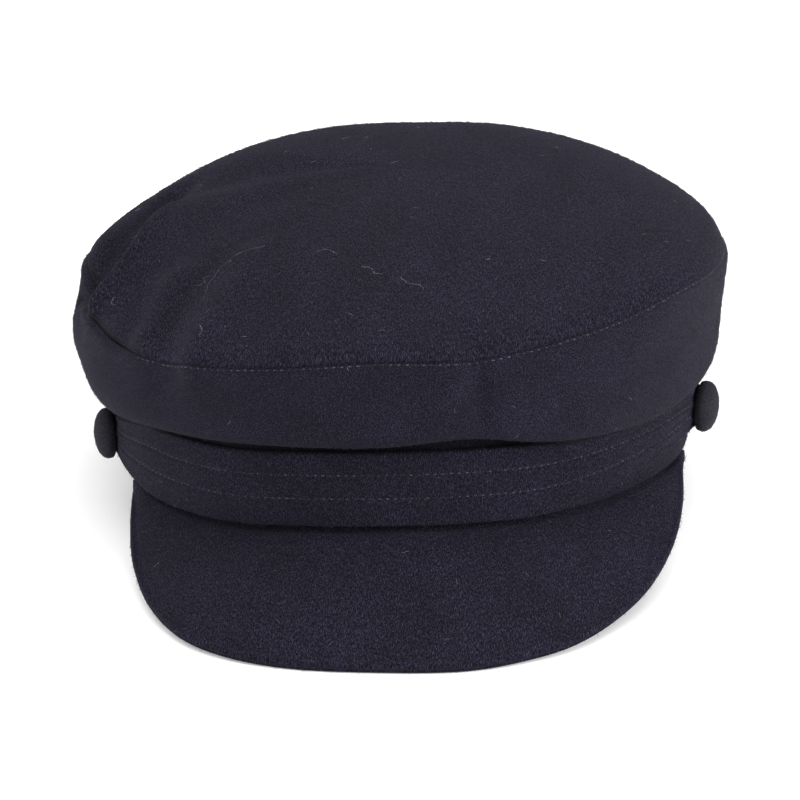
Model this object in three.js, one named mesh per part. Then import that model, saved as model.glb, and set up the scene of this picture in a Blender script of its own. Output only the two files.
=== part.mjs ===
// Breton fisherman cap: a soft domed crown over a headband, a stiff curved peak, and a strap
// buttoned across the front. Millimetres, +Z up, the front of the cap towards -Y, floor at z = 0.
// It rests as a cap rests by itself, on the front edge of its peak and the rear of its rim.
import * as THREE from 'three';

// Headband
const HEAD_WIDTH = 180; // side to side over the outside of the band
const HEAD_LENGTH = 201; // front to back over the outside of the band
const BAND_WALL = 3; // cloth of the band with its turned edges
const BAND_HEIGHT = 30; // rim to crown joint
const FRONT_RISE = 29; // rim above the floor at the front, propped by the peak

// Crown
const CLOTH = 2.4; // one layer of the crown's felted wool
const SIDE_HEIGHT = 45; // side panel, crown joint to top seam where it stands straight
const OVERHANG = 12; // reach of the side panel past the band
const LIP_HANG = 6; // deepest hang of the side panel's lip below the crown joint
const LIP_ROUND = 3; // radius of that lip
const DOME_RISE = 26.5; // summit of the top panel above the mean height of the seam
const SUMMIT_BACK = 8; // summit behind the middle of the band
const SUMMIT_SIDE = 2; // summit to the right of it

// Peak
const PEAK_REACH = 42; // level reach of the peak past the band
const PEAK_WALL = 3.6; // stiffened and covered with cloth on both faces
const PEAK_BOW = 2.2; // rise of the peak's face above a straight slope

// Strap and buttons
const STRAP_WIDTH = 24;
const STRAP_WALL = 2;
const STRAP_LIFT = 1; // lower edge of the strap above the rim
const STRAP_TAIL = 3; // strap past the middle of its button
const GATHERED_WIDTH = 13; // strap under its buttons
const BUTTON_RISE = 5.5; // strap's end above or below its middle line in front
const STAND_OFF = 3.2; // strap's end off the band
// at: degrees from the front; rise, stand: shares of BUTTON_RISE and STAND_OFF
// arc: degrees over which the strap narrows, rises and stands off
const BUTTON_PLACES = {
  button_left: { at: -75, rise: -0.32, stand: 0, arc: 24 },
  button_right: { at: 76, rise: 1, stand: 1, arc: 50 },
};
const BUTTON_WIDTH = 16;
const BUTTON_THICKNESS = 6.4;

// Folds of the crown
const FOLD_DEPTH = 6; // deepest push of a fold
const FOLD_WIDTH = 10; // half-width of a fold of share 1

// Clearance between pieces that touch
const GAP = 0.3;

// Mean distance from the summit to the seam, which turns shares of the flat cloth into millimetres
const CROWN_RADIUS = (HEAD_WIDTH + HEAD_LENGTH) / 4 + OVERHANG;

// Steps round the crown and along each piece
const CROWN_STEP = 6; // degrees
const CREASED_ARC = [-114, -60]; // degrees, where the crown has half that step
const PEAK_STEPS = 36;
const STRAP_STEPS = 40;
const BUTTON_STEPS = 20;

// Colours of the cloth
const CLOTH_COLOUR = 0x2b2935;
const BUTTON_COLOUR = 0x1f1d26;
const CLOTH_ROUGHNESS = 0.95;

/** Names the columns of a table, so that each row reads as an object. */
function table(header, rows) {
  return rows.map((row) => Object.fromEntries(row.map((value, i) => [header[i], value])));
}

// The cap's section every few degrees round from the front (0) to the right (90) and the left (-90).
// rim: rim height, share of FRONT_RISE
// hang: lip below the crown joint, share of LIP_HANG
// lip, belly, edge: reach past the band of the lip, the widest place and the seam, share of OVERHANG
// rise: place of the belly between lip and seam
// seam: seam above the crown joint, share of SIDE_HEIGHT
// full: how long the top panel stays high before it falls to the seam (its power)
const SECTIONS = table(
  ['at', 'rim', 'hang', 'lip', 'belly', 'rise', 'edge', 'seam', 'full'],
  [
    [-150, 0.0, -0.15, 0.7, 1.08, 0.5, 0.98, 0.93, 3.1],
    [-120, 0.1, 0.15, 0.68, 1.06, 0.45, 0.86, 0.86, 3.05],
    [-102, 0.26, 0.47, 0.68, 1.16, 0.38, 0.95, 0.79, 2.05],
    [-90, 0.38, 0.79, 0.58, 1.22, 0.34, 1.0, 0.74, 2.05],
    [-75, 0.53, 0.83, 0.58, 1.02, 0.48, 0.86, 0.53, 2.0],
    [-60, 0.62, 0.64, 0.66, 1.1, 0.42, 0.85, 0.46, 2.1],
    [-45, 0.7, 0.17, 0.7, 1.0, 0.42, 0.8, 0.48, 2.1],
    [-30, 0.8, 0.0, 0.72, 0.95, 0.45, 0.79, 0.53, 2.2],
    [-15, 0.93, 0.07, 0.74, 0.95, 0.45, 0.78, 0.56, 2.2],
    [0, 1.0, 0.07, 0.76, 0.93, 0.45, 0.76, 0.59, 2.2],
    [15, 1.0, -0.26, 0.78, 0.93, 0.45, 0.76, 0.58, 2.2],
    [30, 0.95, 0.34, 0.72, 0.92, 0.5, 0.8, 0.66, 2.3],
    [45, 0.9, 0.69, 0.62, 0.92, 0.55, 0.89, 0.74, 2.3],
    [60, 0.84, 0.86, 0.48, 0.84, 0.6, 1.04, 0.82, 2.4],
    [90, 0.63, 0.25, 0.42, 0.8, 0.45, 0.95, 0.8, 3.75],
    [120, 0.28, 0.0, 0.5, 0.95, 0.6, 0.78, 0.91, 4.1],
    [150, 0.0, -0.3, 0.65, 1.05, 0.5, 0.94, 0.98, 3.65],
    [180, 0.0, -0.3, 0.7, 1.08, 0.5, 1.02, 0.88, 3.15],
  ],
);

// Folds and dents of the crown, each along a line on the cloth laid flat from the summit outwards.
// fromAt, toAt: degrees round from the front; fromOut, toOut: distance out, 1 at the seam
// push: share of FOLD_DEPTH, outwards if above 0; spread: share of FOLD_WIDTH
const FOLDS = table(
  ['fromAt', 'fromOut', 'toAt', 'toOut', 'push', 'spread'],
  [
    [-97, 0.77, -73, 0.97, 0.3, 0.7],
    [-73, 0.98, -83, 1.12, 0.12, 0.6],
    [-107, 0.78, -81, 0.97, -0.7, 0.7],
    [-81, 0.98, -91, 1.12, -0.12, 0.6],
    [-69, 0.82, -57, 0.95, -0.25, 0.7],
    [-61, 0.79, -52, 0.93, 0.25, 0.6],
    [-53, 0.82, -42, 1.04, -0.3, 0.8],
    [-48, 0.62, -36, 1.0, 0.3, 0.65],
    [-30, 0.78, -18, 0.99, -0.2, 0.9],
    [16, 0.95, 17, 1.18, -0.3, 0.45],
    [12, 1.05, 10, 1.12, 0.3, 0.6],
  ],
);

// The peak from its left corner to its right one; it runs further round on the right.
// reach: reach of its edge past the band, share of PEAK_REACH
// lift: height of that edge, share of the rim's
const PEAK_ROWS = table(
  ['at', 'reach', 'lift'],
  [
    [-66, 0.0, 0.8],
    [-59, 0.12, 0.6],
    [-52, 0.28, 0.46],
    [-43, 0.53, 0.25],
    [-35, 0.76, 0.12],
    [-27, 0.955, 0.05],
    [-20, 1.03, 0.02],
    [-12, 1.03, 0.0],
    [0, 0.99, 0.0],
    [12, 1.0, 0.0],
    [20, 0.96, 0.02],
    [27, 0.9, 0.05],
    [35, 0.77, 0.12],
    [43, 0.64, 0.25],
    [52, 0.47, 0.46],
    [62, 0.26, 0.66],
    [73, 0.07, 0.84],
    [82, 0.01, 0.88],
  ],
);

/** Slope of a table's column at a row, from its neighbours. */
function slopeAt(before, row, after, column) {
  return (after[column] - before[column]) / (after.at - before.at);
}

/** Smooth cubic value between two rows with given slopes. */
function cubic(low, high, lowSlope, highSlope, column, at) {
  const span = high.at - low.at;
  const t = (at - low.at) / span;
  const t2 = t * t;
  const t3 = t2 * t;
  return (2 * t3 - 3 * t2 + 1) * low[column] + (t3 - 2 * t2 + t) * span * lowSlope
    + (3 * t2 - 2 * t3) * high[column] + (t3 - t2) * span * highSlope;
}

/** Value of a column of a table whose rows run once round the cap, at an angle in degrees. */
function roundValue(rows, column, angle) {
  const turn = 360;
  const start = rows[0].at;
  const at = start + ((((angle - start) % turn) + turn) % turn);
  const count = rows.length;
  const shifted = (i) => {
    const row = rows[((i % count) + count) % count];
    return { ...row, at: row.at + Math.floor(i / count) * turn };
  };
  let i = 0;
  while (i < count - 1 && shifted(i + 1).at <= at) i += 1;
  const [before, low, high, after] = [shifted(i - 1), shifted(i), shifted(i + 1), shifted(i + 2)];
  return cubic(low, high, slopeAt(before, low, high, column), slopeAt(low, high, after, column),
    column, at);
}

/** Value of a column of a table that runs from one corner to another, at an angle in degrees. */
function openValue(rows, column, angle) {
  const last = rows.length - 1;
  const at = THREE.MathUtils.clamp(angle, rows[0].at, rows[last].at);
  let i = 0;
  while (i < last - 1 && rows[i + 1].at <= at) i += 1;
  const [before, low, high, after] = [Math.max(i - 1, 0), i, i + 1, Math.min(i + 2, last)]
    .map((k) => rows[k]);
  return cubic(low, high, slopeAt(before, low, high, column), slopeAt(low, high, after, column),
    column, at);
}

/** Point at an angle round the band's outer oval, moved out from it and up to a height. */
function around(angle, out, height) {
  const radians = THREE.MathUtils.degToRad(angle);
  return new THREE.Vector3(
    (HEAD_WIDTH / 2 + out) * Math.sin(radians),
    -(HEAD_LENGTH / 2 + out) * Math.cos(radians),
    height,
  );
}

/** Level direction that points out of the band's oval at an angle. */
function outward(angle) {
  const radians = THREE.MathUtils.degToRad(angle);
  return new THREE.Vector3(
    Math.sin(radians) / HEAD_WIDTH, -Math.cos(radians) / HEAD_LENGTH, 0,
  ).normalize();
}

/** Height of the rim above the floor, never below it. */
function rimHeight(angle) {
  return Math.max(0, FRONT_RISE * roundValue(SECTIONS, 'rim', angle));
}

/** All heights and reaches of the crown at an angle, in millimetres. */
function crownSection(angle) {
  const share = (column) => roundValue(SECTIONS, column, angle);
  const joint = rimHeight(angle) + BAND_HEIGHT;
  const lipHeight = joint - LIP_HANG * share('hang');
  const seamHeight = joint + SIDE_HEIGHT * share('seam');
  return {
    angle,
    joint,
    lip: { out: OVERHANG * share('lip'), height: lipHeight },
    belly: {
      out: OVERHANG * share('belly'),
      height: THREE.MathUtils.lerp(lipHeight, seamHeight, share('rise')),
    },
    seam: { out: OVERHANG * share('edge'), height: seamHeight },
    full: share('full'),
  };
}

/** Angles round the crown, closer together over the creased arc. */
function crownAngles() {
  const angles = [];
  for (let angle = -180; angle < 180; angle += CROWN_STEP) {
    angles.push(angle);
    const middle = angle + CROWN_STEP / 2;
    if (middle > CREASED_ARC[0] && middle < CREASED_ARC[1]) angles.push(middle);
  }
  return angles;
}

/** Place on the cloth laid flat, in shares of the distance from the summit to the seam. */
function flatPlace(angle, reach) {
  const radians = THREE.MathUtils.degToRad(angle);
  return new THREE.Vector2(reach * Math.sin(radians), -reach * Math.cos(radians));
}

/** How far the folds push the cloth outwards at a place on it, in millimetres. */
function foldPush(angle, reach) {
  const place = flatPlace(angle, reach);
  let push = 0;
  for (const fold of FOLDS) {
    const start = flatPlace(fold.fromAt, fold.fromOut);
    const line = flatPlace(fold.toAt, fold.toOut).sub(start);
    const offset = place.clone().sub(start);
    const along = THREE.MathUtils.clamp(offset.dot(line) / line.lengthSq(), 0, 1);
    const away = offset.sub(line.multiplyScalar(along)).length() * CROWN_RADIUS;
    push += FOLD_DEPTH * fold.push * Math.exp(-((away / (FOLD_WIDTH * fold.spread)) ** 2));
  }
  return push;
}

/** Moves a point of the crown by its folds: upwards on the top panel, outwards on the side panel. */
function folded(point, angle, reach) {
  const turn = THREE.MathUtils.smoothstep(reach, 0.75, 1.15) * (Math.PI / 2);
  const push = foldPush(angle, reach);
  const out = outward(angle).multiplyScalar(push * Math.sin(turn));
  return point.clone().add(out).add(new THREE.Vector3(0, 0, push * Math.cos(turn)));
}

/** Closed body from columns of points, each column a loop or a line from pole to pole. */
function loft(columns, { ring, poles = false }) {
  const rows = columns[0].length;
  const positions = [];
  const ids = columns.map((column, c) => column.map((point, r) => {
    const shared = poles && c > 0 && (r === 0 || r === rows - 1);
    if (shared) return null;
    positions.push(point.x, point.y, point.z);
    return positions.length / 3 - 1;
  }));
  if (poles) {
    for (const column of ids) {
      column[0] = ids[0][0];
      column[rows - 1] = ids[0][rows - 1];
    }
  }
  const faces = [];
  const addFace = (a, b, c) => {
    if (a !== b && b !== c && c !== a) faces.push(a, b, c);
  };
  const columnSteps = ring ? columns.length : columns.length - 1;
  const rowSteps = poles ? rows - 1 : rows;
  for (let c = 0; c < columnSteps; c += 1) {
    const here = ids[c];
    const next = ids[(c + 1) % columns.length];
    for (let r = 0; r < rowSteps; r += 1) {
      const up = (r + 1) % rows;
      addFace(here[r], next[r], next[up]);
      addFace(here[r], next[up], here[up]);
    }
  }
  if (!ring) {
    const half = rows / 2;
    const first = ids[0];
    const last = ids[ids.length - 1];
    for (let r = 0; r < half - 1; r += 1) {
      const mate = rows - 1 - r;
      addFace(first[r], first[r + 1], first[mate - 1]);
      addFace(first[r], first[mate - 1], first[mate]);
      addFace(last[r], last[mate - 1], last[r + 1]);
      addFace(last[r], last[mate], last[mate - 1]);
    }
  }
  const geometry = new THREE.BufferGeometry();
  geometry.setAttribute('position', new THREE.Float32BufferAttribute(positions, 3));
  geometry.setIndex(faces);
  return geometry;
}

/** Domed top panel: a skin from the summit to the seam, its edge, and the same skin below. */
function crownTop() {
  const reaches = [0, 0.16, 0.32, 0.47, 0.6, 0.71, 0.8, 0.88, 0.95, 1];
  const angles = crownAngles();
  const sections = angles.map(crownSection);
  const meanSeam = sections.reduce((sum, section) => sum + section.seam.height, 0) / sections.length;
  const summit = new THREE.Vector3(SUMMIT_SIDE, SUMMIT_BACK, meanSeam + DOME_RISE);
  const columns = sections.map((section) => {
    const edge = around(section.angle, section.seam.out, section.seam.height + CLOTH);
    const top = reaches.map((reach) => {
      const point = summit.clone().lerp(edge, reach);
      point.z = summit.z + (edge.z - summit.z) * reach ** section.full;
      return folded(point, section.angle, reach);
    });
    const under = top.map((point) => point.clone().setZ(point.z - CLOTH)).reverse();
    return [...top, ...under];
  });
  return loft(columns.reverse(), { ring: true, poles: true });
}

/** Side panel: seated on the band, over the lip, out to the belly and up to the seam. */
function crownSide() {
  const spanSteps = 2;
  const columns = crownAngles().map((angle) => {
    const { joint, lip, belly, seam } = crownSection(angle);
    const base = joint + GAP;
    const top = seam.height - GAP;
    const knots = [
      [-BAND_WALL, base],
      [GAP, base],
      [lip.out - LIP_ROUND, (base + lip.height) / 2],
      [lip.out, lip.height],
      [lip.out + LIP_ROUND, lip.height + LIP_ROUND],
      [belly.out, belly.height],
      [seam.out, top],
    ].map(([out, height]) => new THREE.Vector3(out, height, 0));
    const curve = new THREE.CatmullRomCurve3(knots, false, 'centripetal');
    const steps = spanSteps * (knots.length - 1);
    const line = curve.getPoints(steps);
    let walked = 0;
    const distances = line.map((point, i) => {
      walked += i === 0 ? 0 : point.distanceTo(line[i - 1]);
      return walked;
    });
    const reaches = distances.map((distance) => 1 + (walked - distance) / CROWN_RADIUS);
    const inner = line.map((point, i) => {
      if (i === 0) return new THREE.Vector3(point.x, base + CLOTH, 0);
      if (i === steps) return new THREE.Vector3(point.x - CLOTH, top, 0);
      const along = line[i + 1].clone().sub(line[i - 1]).normalize();
      return new THREE.Vector3(point.x - along.y * CLOTH, point.y + along.x * CLOTH, 0);
    });
    const place = (point, i) => folded(around(angle, point.x, point.y), angle, reaches[i]);
    return [...line.map(place), ...inner.map(place).reverse()];
  });
  return loft(columns, { ring: true });
}

/** Upright band round the head, flat on the floor at the rear. */
function headband() {
  const columns = crownAngles().map((angle) => {
    const rim = rimHeight(angle);
    return [
      around(angle, 0, rim),
      around(angle, 0, rim + BAND_HEIGHT),
      around(angle, -BAND_WALL, rim + BAND_HEIGHT),
      around(angle, -BAND_WALL, rim),
    ];
  });
  return loft(columns, { ring: true });
}

/** Curved peak, tucked under the front of the band's rim and flattened where it meets the floor. */
function peak() {
  const shares = [0, 0.2, 0.4, 0.6, 0.8, 0.94];
  const leftCorner = PEAK_ROWS[0].at;
  const rightCorner = PEAK_ROWS[PEAK_ROWS.length - 1].at;
  const columns = [];
  for (let i = 0; i <= PEAK_STEPS; i += 1) {
    const angle = THREE.MathUtils.lerp(leftCorner, rightCorner, i / PEAK_STEPS);
    const seat = rimHeight(angle) - GAP;
    const out = PEAK_REACH * openValue(PEAK_ROWS, 'reach', angle);
    const lift = Math.max(0, seat * openValue(PEAK_ROWS, 'lift', angle));
    const edgeTop = Math.min(lift + PEAK_WALL, seat);
    const bow = PEAK_BOW * (out / PEAK_REACH);
    const faceHeight = (share) => (
      THREE.MathUtils.lerp(seat, edgeTop, share) + bow * 4 * share * (1 - share)
    );
    const underHeight = (share) => Math.max(faceHeight(share) - PEAK_WALL, 0);
    const edgeHeight = (share) => THREE.MathUtils.lerp(underHeight(1), edgeTop, share);
    const top = shares.map((share) => around(angle, out * share, faceHeight(share)));
    const under = shares.map((share) => around(angle, out * share, underHeight(share))).reverse();
    columns.push([
      around(angle, -BAND_WALL, seat),
      ...top,
      around(angle, out, edgeHeight(0.75)),
      around(angle, out, edgeHeight(0.25)),
      ...under,
      around(angle, -BAND_WALL, seat - PEAK_WALL),
    ]);
  }
  return loft(columns.reverse(), { ring: false });
}

/** The button at the end of the strap's half that an angle is in. */
function buttonNear(angle) {
  return angle < 0 ? BUTTON_PLACES.button_left : BUTTON_PLACES.button_right;
}

/** How far the strap is gathered at an angle, from 0 in front to 1 at its buttons. */
function gathered(angle) {
  const { at, arc } = buttonNear(angle);
  return 1 - THREE.MathUtils.smoothstep(Math.abs(at) - Math.abs(angle), 0, arc);
}

/** Height of the strap's middle line, which runs up or down to its buttons. */
function strapMiddle(angle) {
  const rise = BUTTON_RISE * buttonNear(angle).rise * gathered(angle);
  return rimHeight(angle) + STRAP_LIFT + STRAP_WIDTH / 2 + rise;
}

/** Reach past the band of the strap's inner face. */
function strapOut(angle) {
  return GAP + STAND_OFF * buttonNear(angle).stand * gathered(angle);
}

/** Flat strap over the front of the band, gathered to its buttons. */
function strap() {
  const tail = THREE.MathUtils.radToDeg(STRAP_TAIL / (HEAD_LENGTH / 2));
  const start = BUTTON_PLACES.button_left.at - tail;
  const end = BUTTON_PLACES.button_right.at + tail;
  const columns = [];
  for (let i = 0; i <= STRAP_STEPS; i += 1) {
    const angle = THREE.MathUtils.lerp(start, end, i / STRAP_STEPS);
    const half = THREE.MathUtils.lerp(STRAP_WIDTH, GATHERED_WIDTH, gathered(angle)) / 2;
    const middle = strapMiddle(angle);
    const back = strapOut(angle);
    const face = back + STRAP_WALL;
    columns.push([
      around(angle, face, middle - half),
      around(angle, face, middle),
      around(angle, face, middle + half),
      around(angle, back, middle + half),
      around(angle, back, middle),
      around(angle, back, middle - half),
    ]);
  }
  return loft(columns, { ring: false });
}

/** Cloth-covered button: a flat back, a rounded edge and a shallow dome, its axis along Y. */
function button() {
  const radius = BUTTON_WIDTH / 2;
  const profile = table(
    ['across', 'height'],
    [
      [0, 0],
      [0.84, 0],
      [0.97, 0.14],
      [1, 0.34],
      [0.92, 0.58],
      [0.72, 0.8],
      [0.4, 0.95],
      [0, 1],
    ],
  ).map(({ across, height }) => new THREE.Vector2(radius * across, BUTTON_THICKNESS * height));
  return new THREE.LatheGeometry(profile, BUTTON_STEPS);
}

const cloth = new THREE.MeshStandardMaterial({
  color: CLOTH_COLOUR, roughness: CLOTH_ROUGHNESS, metalness: 0, flatShading: true,
});
const darkCloth = new THREE.MeshStandardMaterial({
  color: BUTTON_COLOUR, roughness: CLOTH_ROUGHNESS, metalness: 0, flatShading: true,
});

/** Mesh with a name and a material of its own. */
function named(name, geometry, material) {
  const mesh = new THREE.Mesh(geometry, material.clone());
  mesh.name = name;
  return mesh;
}

const cap = new THREE.Group();
cap.add(
  named('headband', headband(), cloth),
  named('crown_side', crownSide(), cloth),
  named('crown_top', crownTop(), cloth),
  named('peak', peak(), cloth),
  named('strap', strap(), cloth),
);

for (const [name, { at }] of Object.entries(BUTTON_PLACES)) {
  const mesh = named(name, button(), darkCloth);
  mesh.position.copy(around(at, strapOut(at) + STRAP_WALL, strapMiddle(at)));
  mesh.position.addScaledVector(outward(at), GAP);
  mesh.quaternion.setFromUnitVectors(new THREE.Vector3(0, 1, 0), outward(at));
  cap.add(mesh);
}

// The origin is the middle of the cap's footprint, on the floor
cap.updateMatrixWorld(true);
const box = new THREE.Box3().setFromObject(cap);
const middle = box.getCenter(new THREE.Vector3());
cap.position.set(-middle.x, -middle.y, -box.min.z);

export default cap;
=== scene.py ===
"""A breton fisherman cap in dark felted wool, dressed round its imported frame.

The cap rests on a pale studio floor. Lengths are metres, +Z is up and the front of the cap faces -Y.
Places on the cap are given as an angle round the band, 0 in front, 90 on the right and -90 on the
left, with a reach past the band's outer oval and a height above the floor.
"""

from __future__ import annotations

import logging
import math
from dataclasses import dataclass
from enum import Enum
from typing import Callable, Sequence

import bmesh
import bpy
import numpy as np
from mathutils import Matrix, Vector


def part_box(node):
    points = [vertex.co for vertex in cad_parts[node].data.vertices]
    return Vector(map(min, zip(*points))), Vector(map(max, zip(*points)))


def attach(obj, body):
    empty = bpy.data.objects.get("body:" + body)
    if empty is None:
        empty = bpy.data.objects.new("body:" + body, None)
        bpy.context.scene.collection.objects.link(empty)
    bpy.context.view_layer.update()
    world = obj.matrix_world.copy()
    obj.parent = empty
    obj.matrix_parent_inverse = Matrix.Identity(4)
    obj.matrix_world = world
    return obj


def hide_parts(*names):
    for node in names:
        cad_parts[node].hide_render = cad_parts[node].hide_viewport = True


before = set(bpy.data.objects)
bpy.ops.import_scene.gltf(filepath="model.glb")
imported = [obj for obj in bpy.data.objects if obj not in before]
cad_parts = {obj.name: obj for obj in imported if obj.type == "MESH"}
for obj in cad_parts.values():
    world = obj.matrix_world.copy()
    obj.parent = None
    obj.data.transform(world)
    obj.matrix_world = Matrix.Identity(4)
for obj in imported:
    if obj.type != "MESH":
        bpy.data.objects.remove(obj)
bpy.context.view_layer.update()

LOG = logging.getLogger("breton_cap")
ROOT = "root"
MM = 0.001
TURN = 360.0
GAP = 0.3 * MM  # clearance between pieces that touch
SEAM_GAP = 0.08 * MM  # crevice of a sewn seam
CLOTH_MAP = "cloth"  # UV map of a piece's cloth laid flat, in metres
SHOWN = "shown"  # vertex attribute, 1 on the outer face of a piece where fibres grow, kept off deep painted shade
KEPT = "kept"  # vertex attribute: painted shade, the share of light the cloth's colour keeps
STANDING = 0.7  # share of painted light above which fibres grow, so none stand pale in painted shade

Array = np.ndarray


class Slot(Enum):
    """Material slots of the record."""

    WOOL = "wool_cloth"
    BUTTON = "button_cloth"
    THREAD = "thread"


class Side(Enum):
    """The two sides of the cap, seen from its front."""

    LEFT = -1
    RIGHT = 1


def smoothstep(value: Array, low: float, high: float) -> Array:
    """Eases from 0 at low to 1 at high.

    Args:
        value: Numbers to ease.
        low: Where the rise starts.
        high: Where the rise ends.

    Returns:
        The eased numbers, from 0 to 1.
    """
    t = np.clip((value - low) / (high - low), 0.0, 1.0)
    return t * t * (3.0 - 2.0 * t)


def bell(distance: Array, spread: float) -> Array:
    """Height of a smooth bump of height 1 at a distance from its middle."""
    return np.exp(-((distance / spread) ** 2))


def hermite(at: Array, values: Array, slopes: Array, x: Array) -> Array:
    """Smooth cubic through values with given slopes.

    Args:
        at: Rising places of the values.
        values: One value at each place.
        slopes: One slope at each place.
        x: Where the curve is read, within the places.

    Returns:
        The curve's values at x.
    """
    i = np.clip(np.searchsorted(at, x, side="right") - 1, 0, len(at) - 2)
    span = at[i + 1] - at[i]
    t = (x - at[i]) / span
    t2, t3 = t * t, t * t * t
    return (
        (2 * t3 - 3 * t2 + 1) * values[i]
        + (t3 - 2 * t2 + t) * span * slopes[i]
        + (3 * t2 - 2 * t3) * values[i + 1]
        + (t3 - t2) * span * slopes[i + 1]
    )


@dataclass(frozen=True)
class Table:
    """Rows of shares at angles, with named columns; the first column is the angle.

    Attributes:
        columns: Names of the columns.
        rows: One row for each angle, in rising order.
    """

    columns: tuple[str, ...]
    rows: tuple[tuple[float, ...], ...]

    def column(self, name: str) -> Array:
        """All values of one column."""
        return np.array([row[self.columns.index(name)] for row in self.rows], float)

    def round_value(self, name: str, angle: Array) -> Array:
        """Value of a column of a table whose rows run once round the cap.

        Args:
            name: The column.
            angle: Angles in degrees.

        Returns:
            Smooth values at the angles.
        """
        at, values = self.column("at"), self.column(name)
        at = np.concatenate([at[-2:] - TURN, at, at[:3] + TURN])
        values = np.concatenate([values[-2:], values, values[:3]])
        slopes = np.zeros_like(values)
        slopes[1:-1] = (values[2:] - values[:-2]) / (at[2:] - at[:-2])
        start = at[2]
        return hermite(at, values, slopes, start + (np.asarray(angle, float) - start) % TURN)

    def open_value(self, name: str, angle: Array) -> Array:
        """Value of a column of a table that runs from one corner to another.

        Args:
            name: The column.
            angle: Angles in degrees.

        Returns:
            Smooth values at the angles.
        """
        at, values = self.column("at"), self.column(name)
        last = len(at) - 1
        before = np.maximum(np.arange(len(at)) - 1, 0)
        after = np.minimum(np.arange(len(at)) + 1, last)
        slopes = (values[after] - values[before]) / (at[after] - at[before])
        return hermite(at, values, slopes, np.clip(angle, at[0], at[last]))


@dataclass(frozen=True)
class Oval:
    """The outer oval of the headband, seen from above.

    Attributes:
        middle: Its centre on the floor.
        half_width: Half its size from side to side.
        half_length: Half its size from front to back.
    """

    middle: tuple[float, float]
    half_width: float
    half_length: float

    @classmethod
    def of_frame(cls) -> Oval:
        """The oval of the frame's headband.

        Returns:
            The oval.
        """
        low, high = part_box("headband")
        middle = (low + high) / 2
        half = (high - low) / 2
        return cls((middle.x, middle.y), half.x, half.y)

    def place(self, angle: Array, out: Array, height: Array) -> Array:
        """Points round the oval.

        Args:
            angle: Angles in degrees.
            out: Reaches past the oval.
            height: Heights above the floor.

        Returns:
            One point in each row.
        """
        radians = np.radians(angle)
        x = self.middle[0] + (self.half_width + out) * np.sin(radians)
        y = self.middle[1] - (self.half_length + out) * np.cos(radians)
        return np.stack(np.broadcast_arrays(x, y, height), axis=-1)

    def outward(self, angle: Array) -> Array:
        """Directions out of the oval.

        Args:
            angle: Angles in degrees.

        Returns:
            Level unit vectors, one in each row.
        """
        radians = np.radians(angle)
        x = np.sin(radians) / self.half_width
        y = -np.cos(radians) / self.half_length
        length = np.hypot(x, y)
        return np.stack([x / length, y / length, np.zeros_like(x)], axis=-1)


def flat_place(angle: Array, reach: Array) -> Array:
    """Place on the crown's cloth laid flat, in shares of the distance from summit to seam."""
    radians = np.radians(angle)
    return np.stack([reach * np.sin(radians), -reach * np.cos(radians)], axis=-1)


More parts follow.
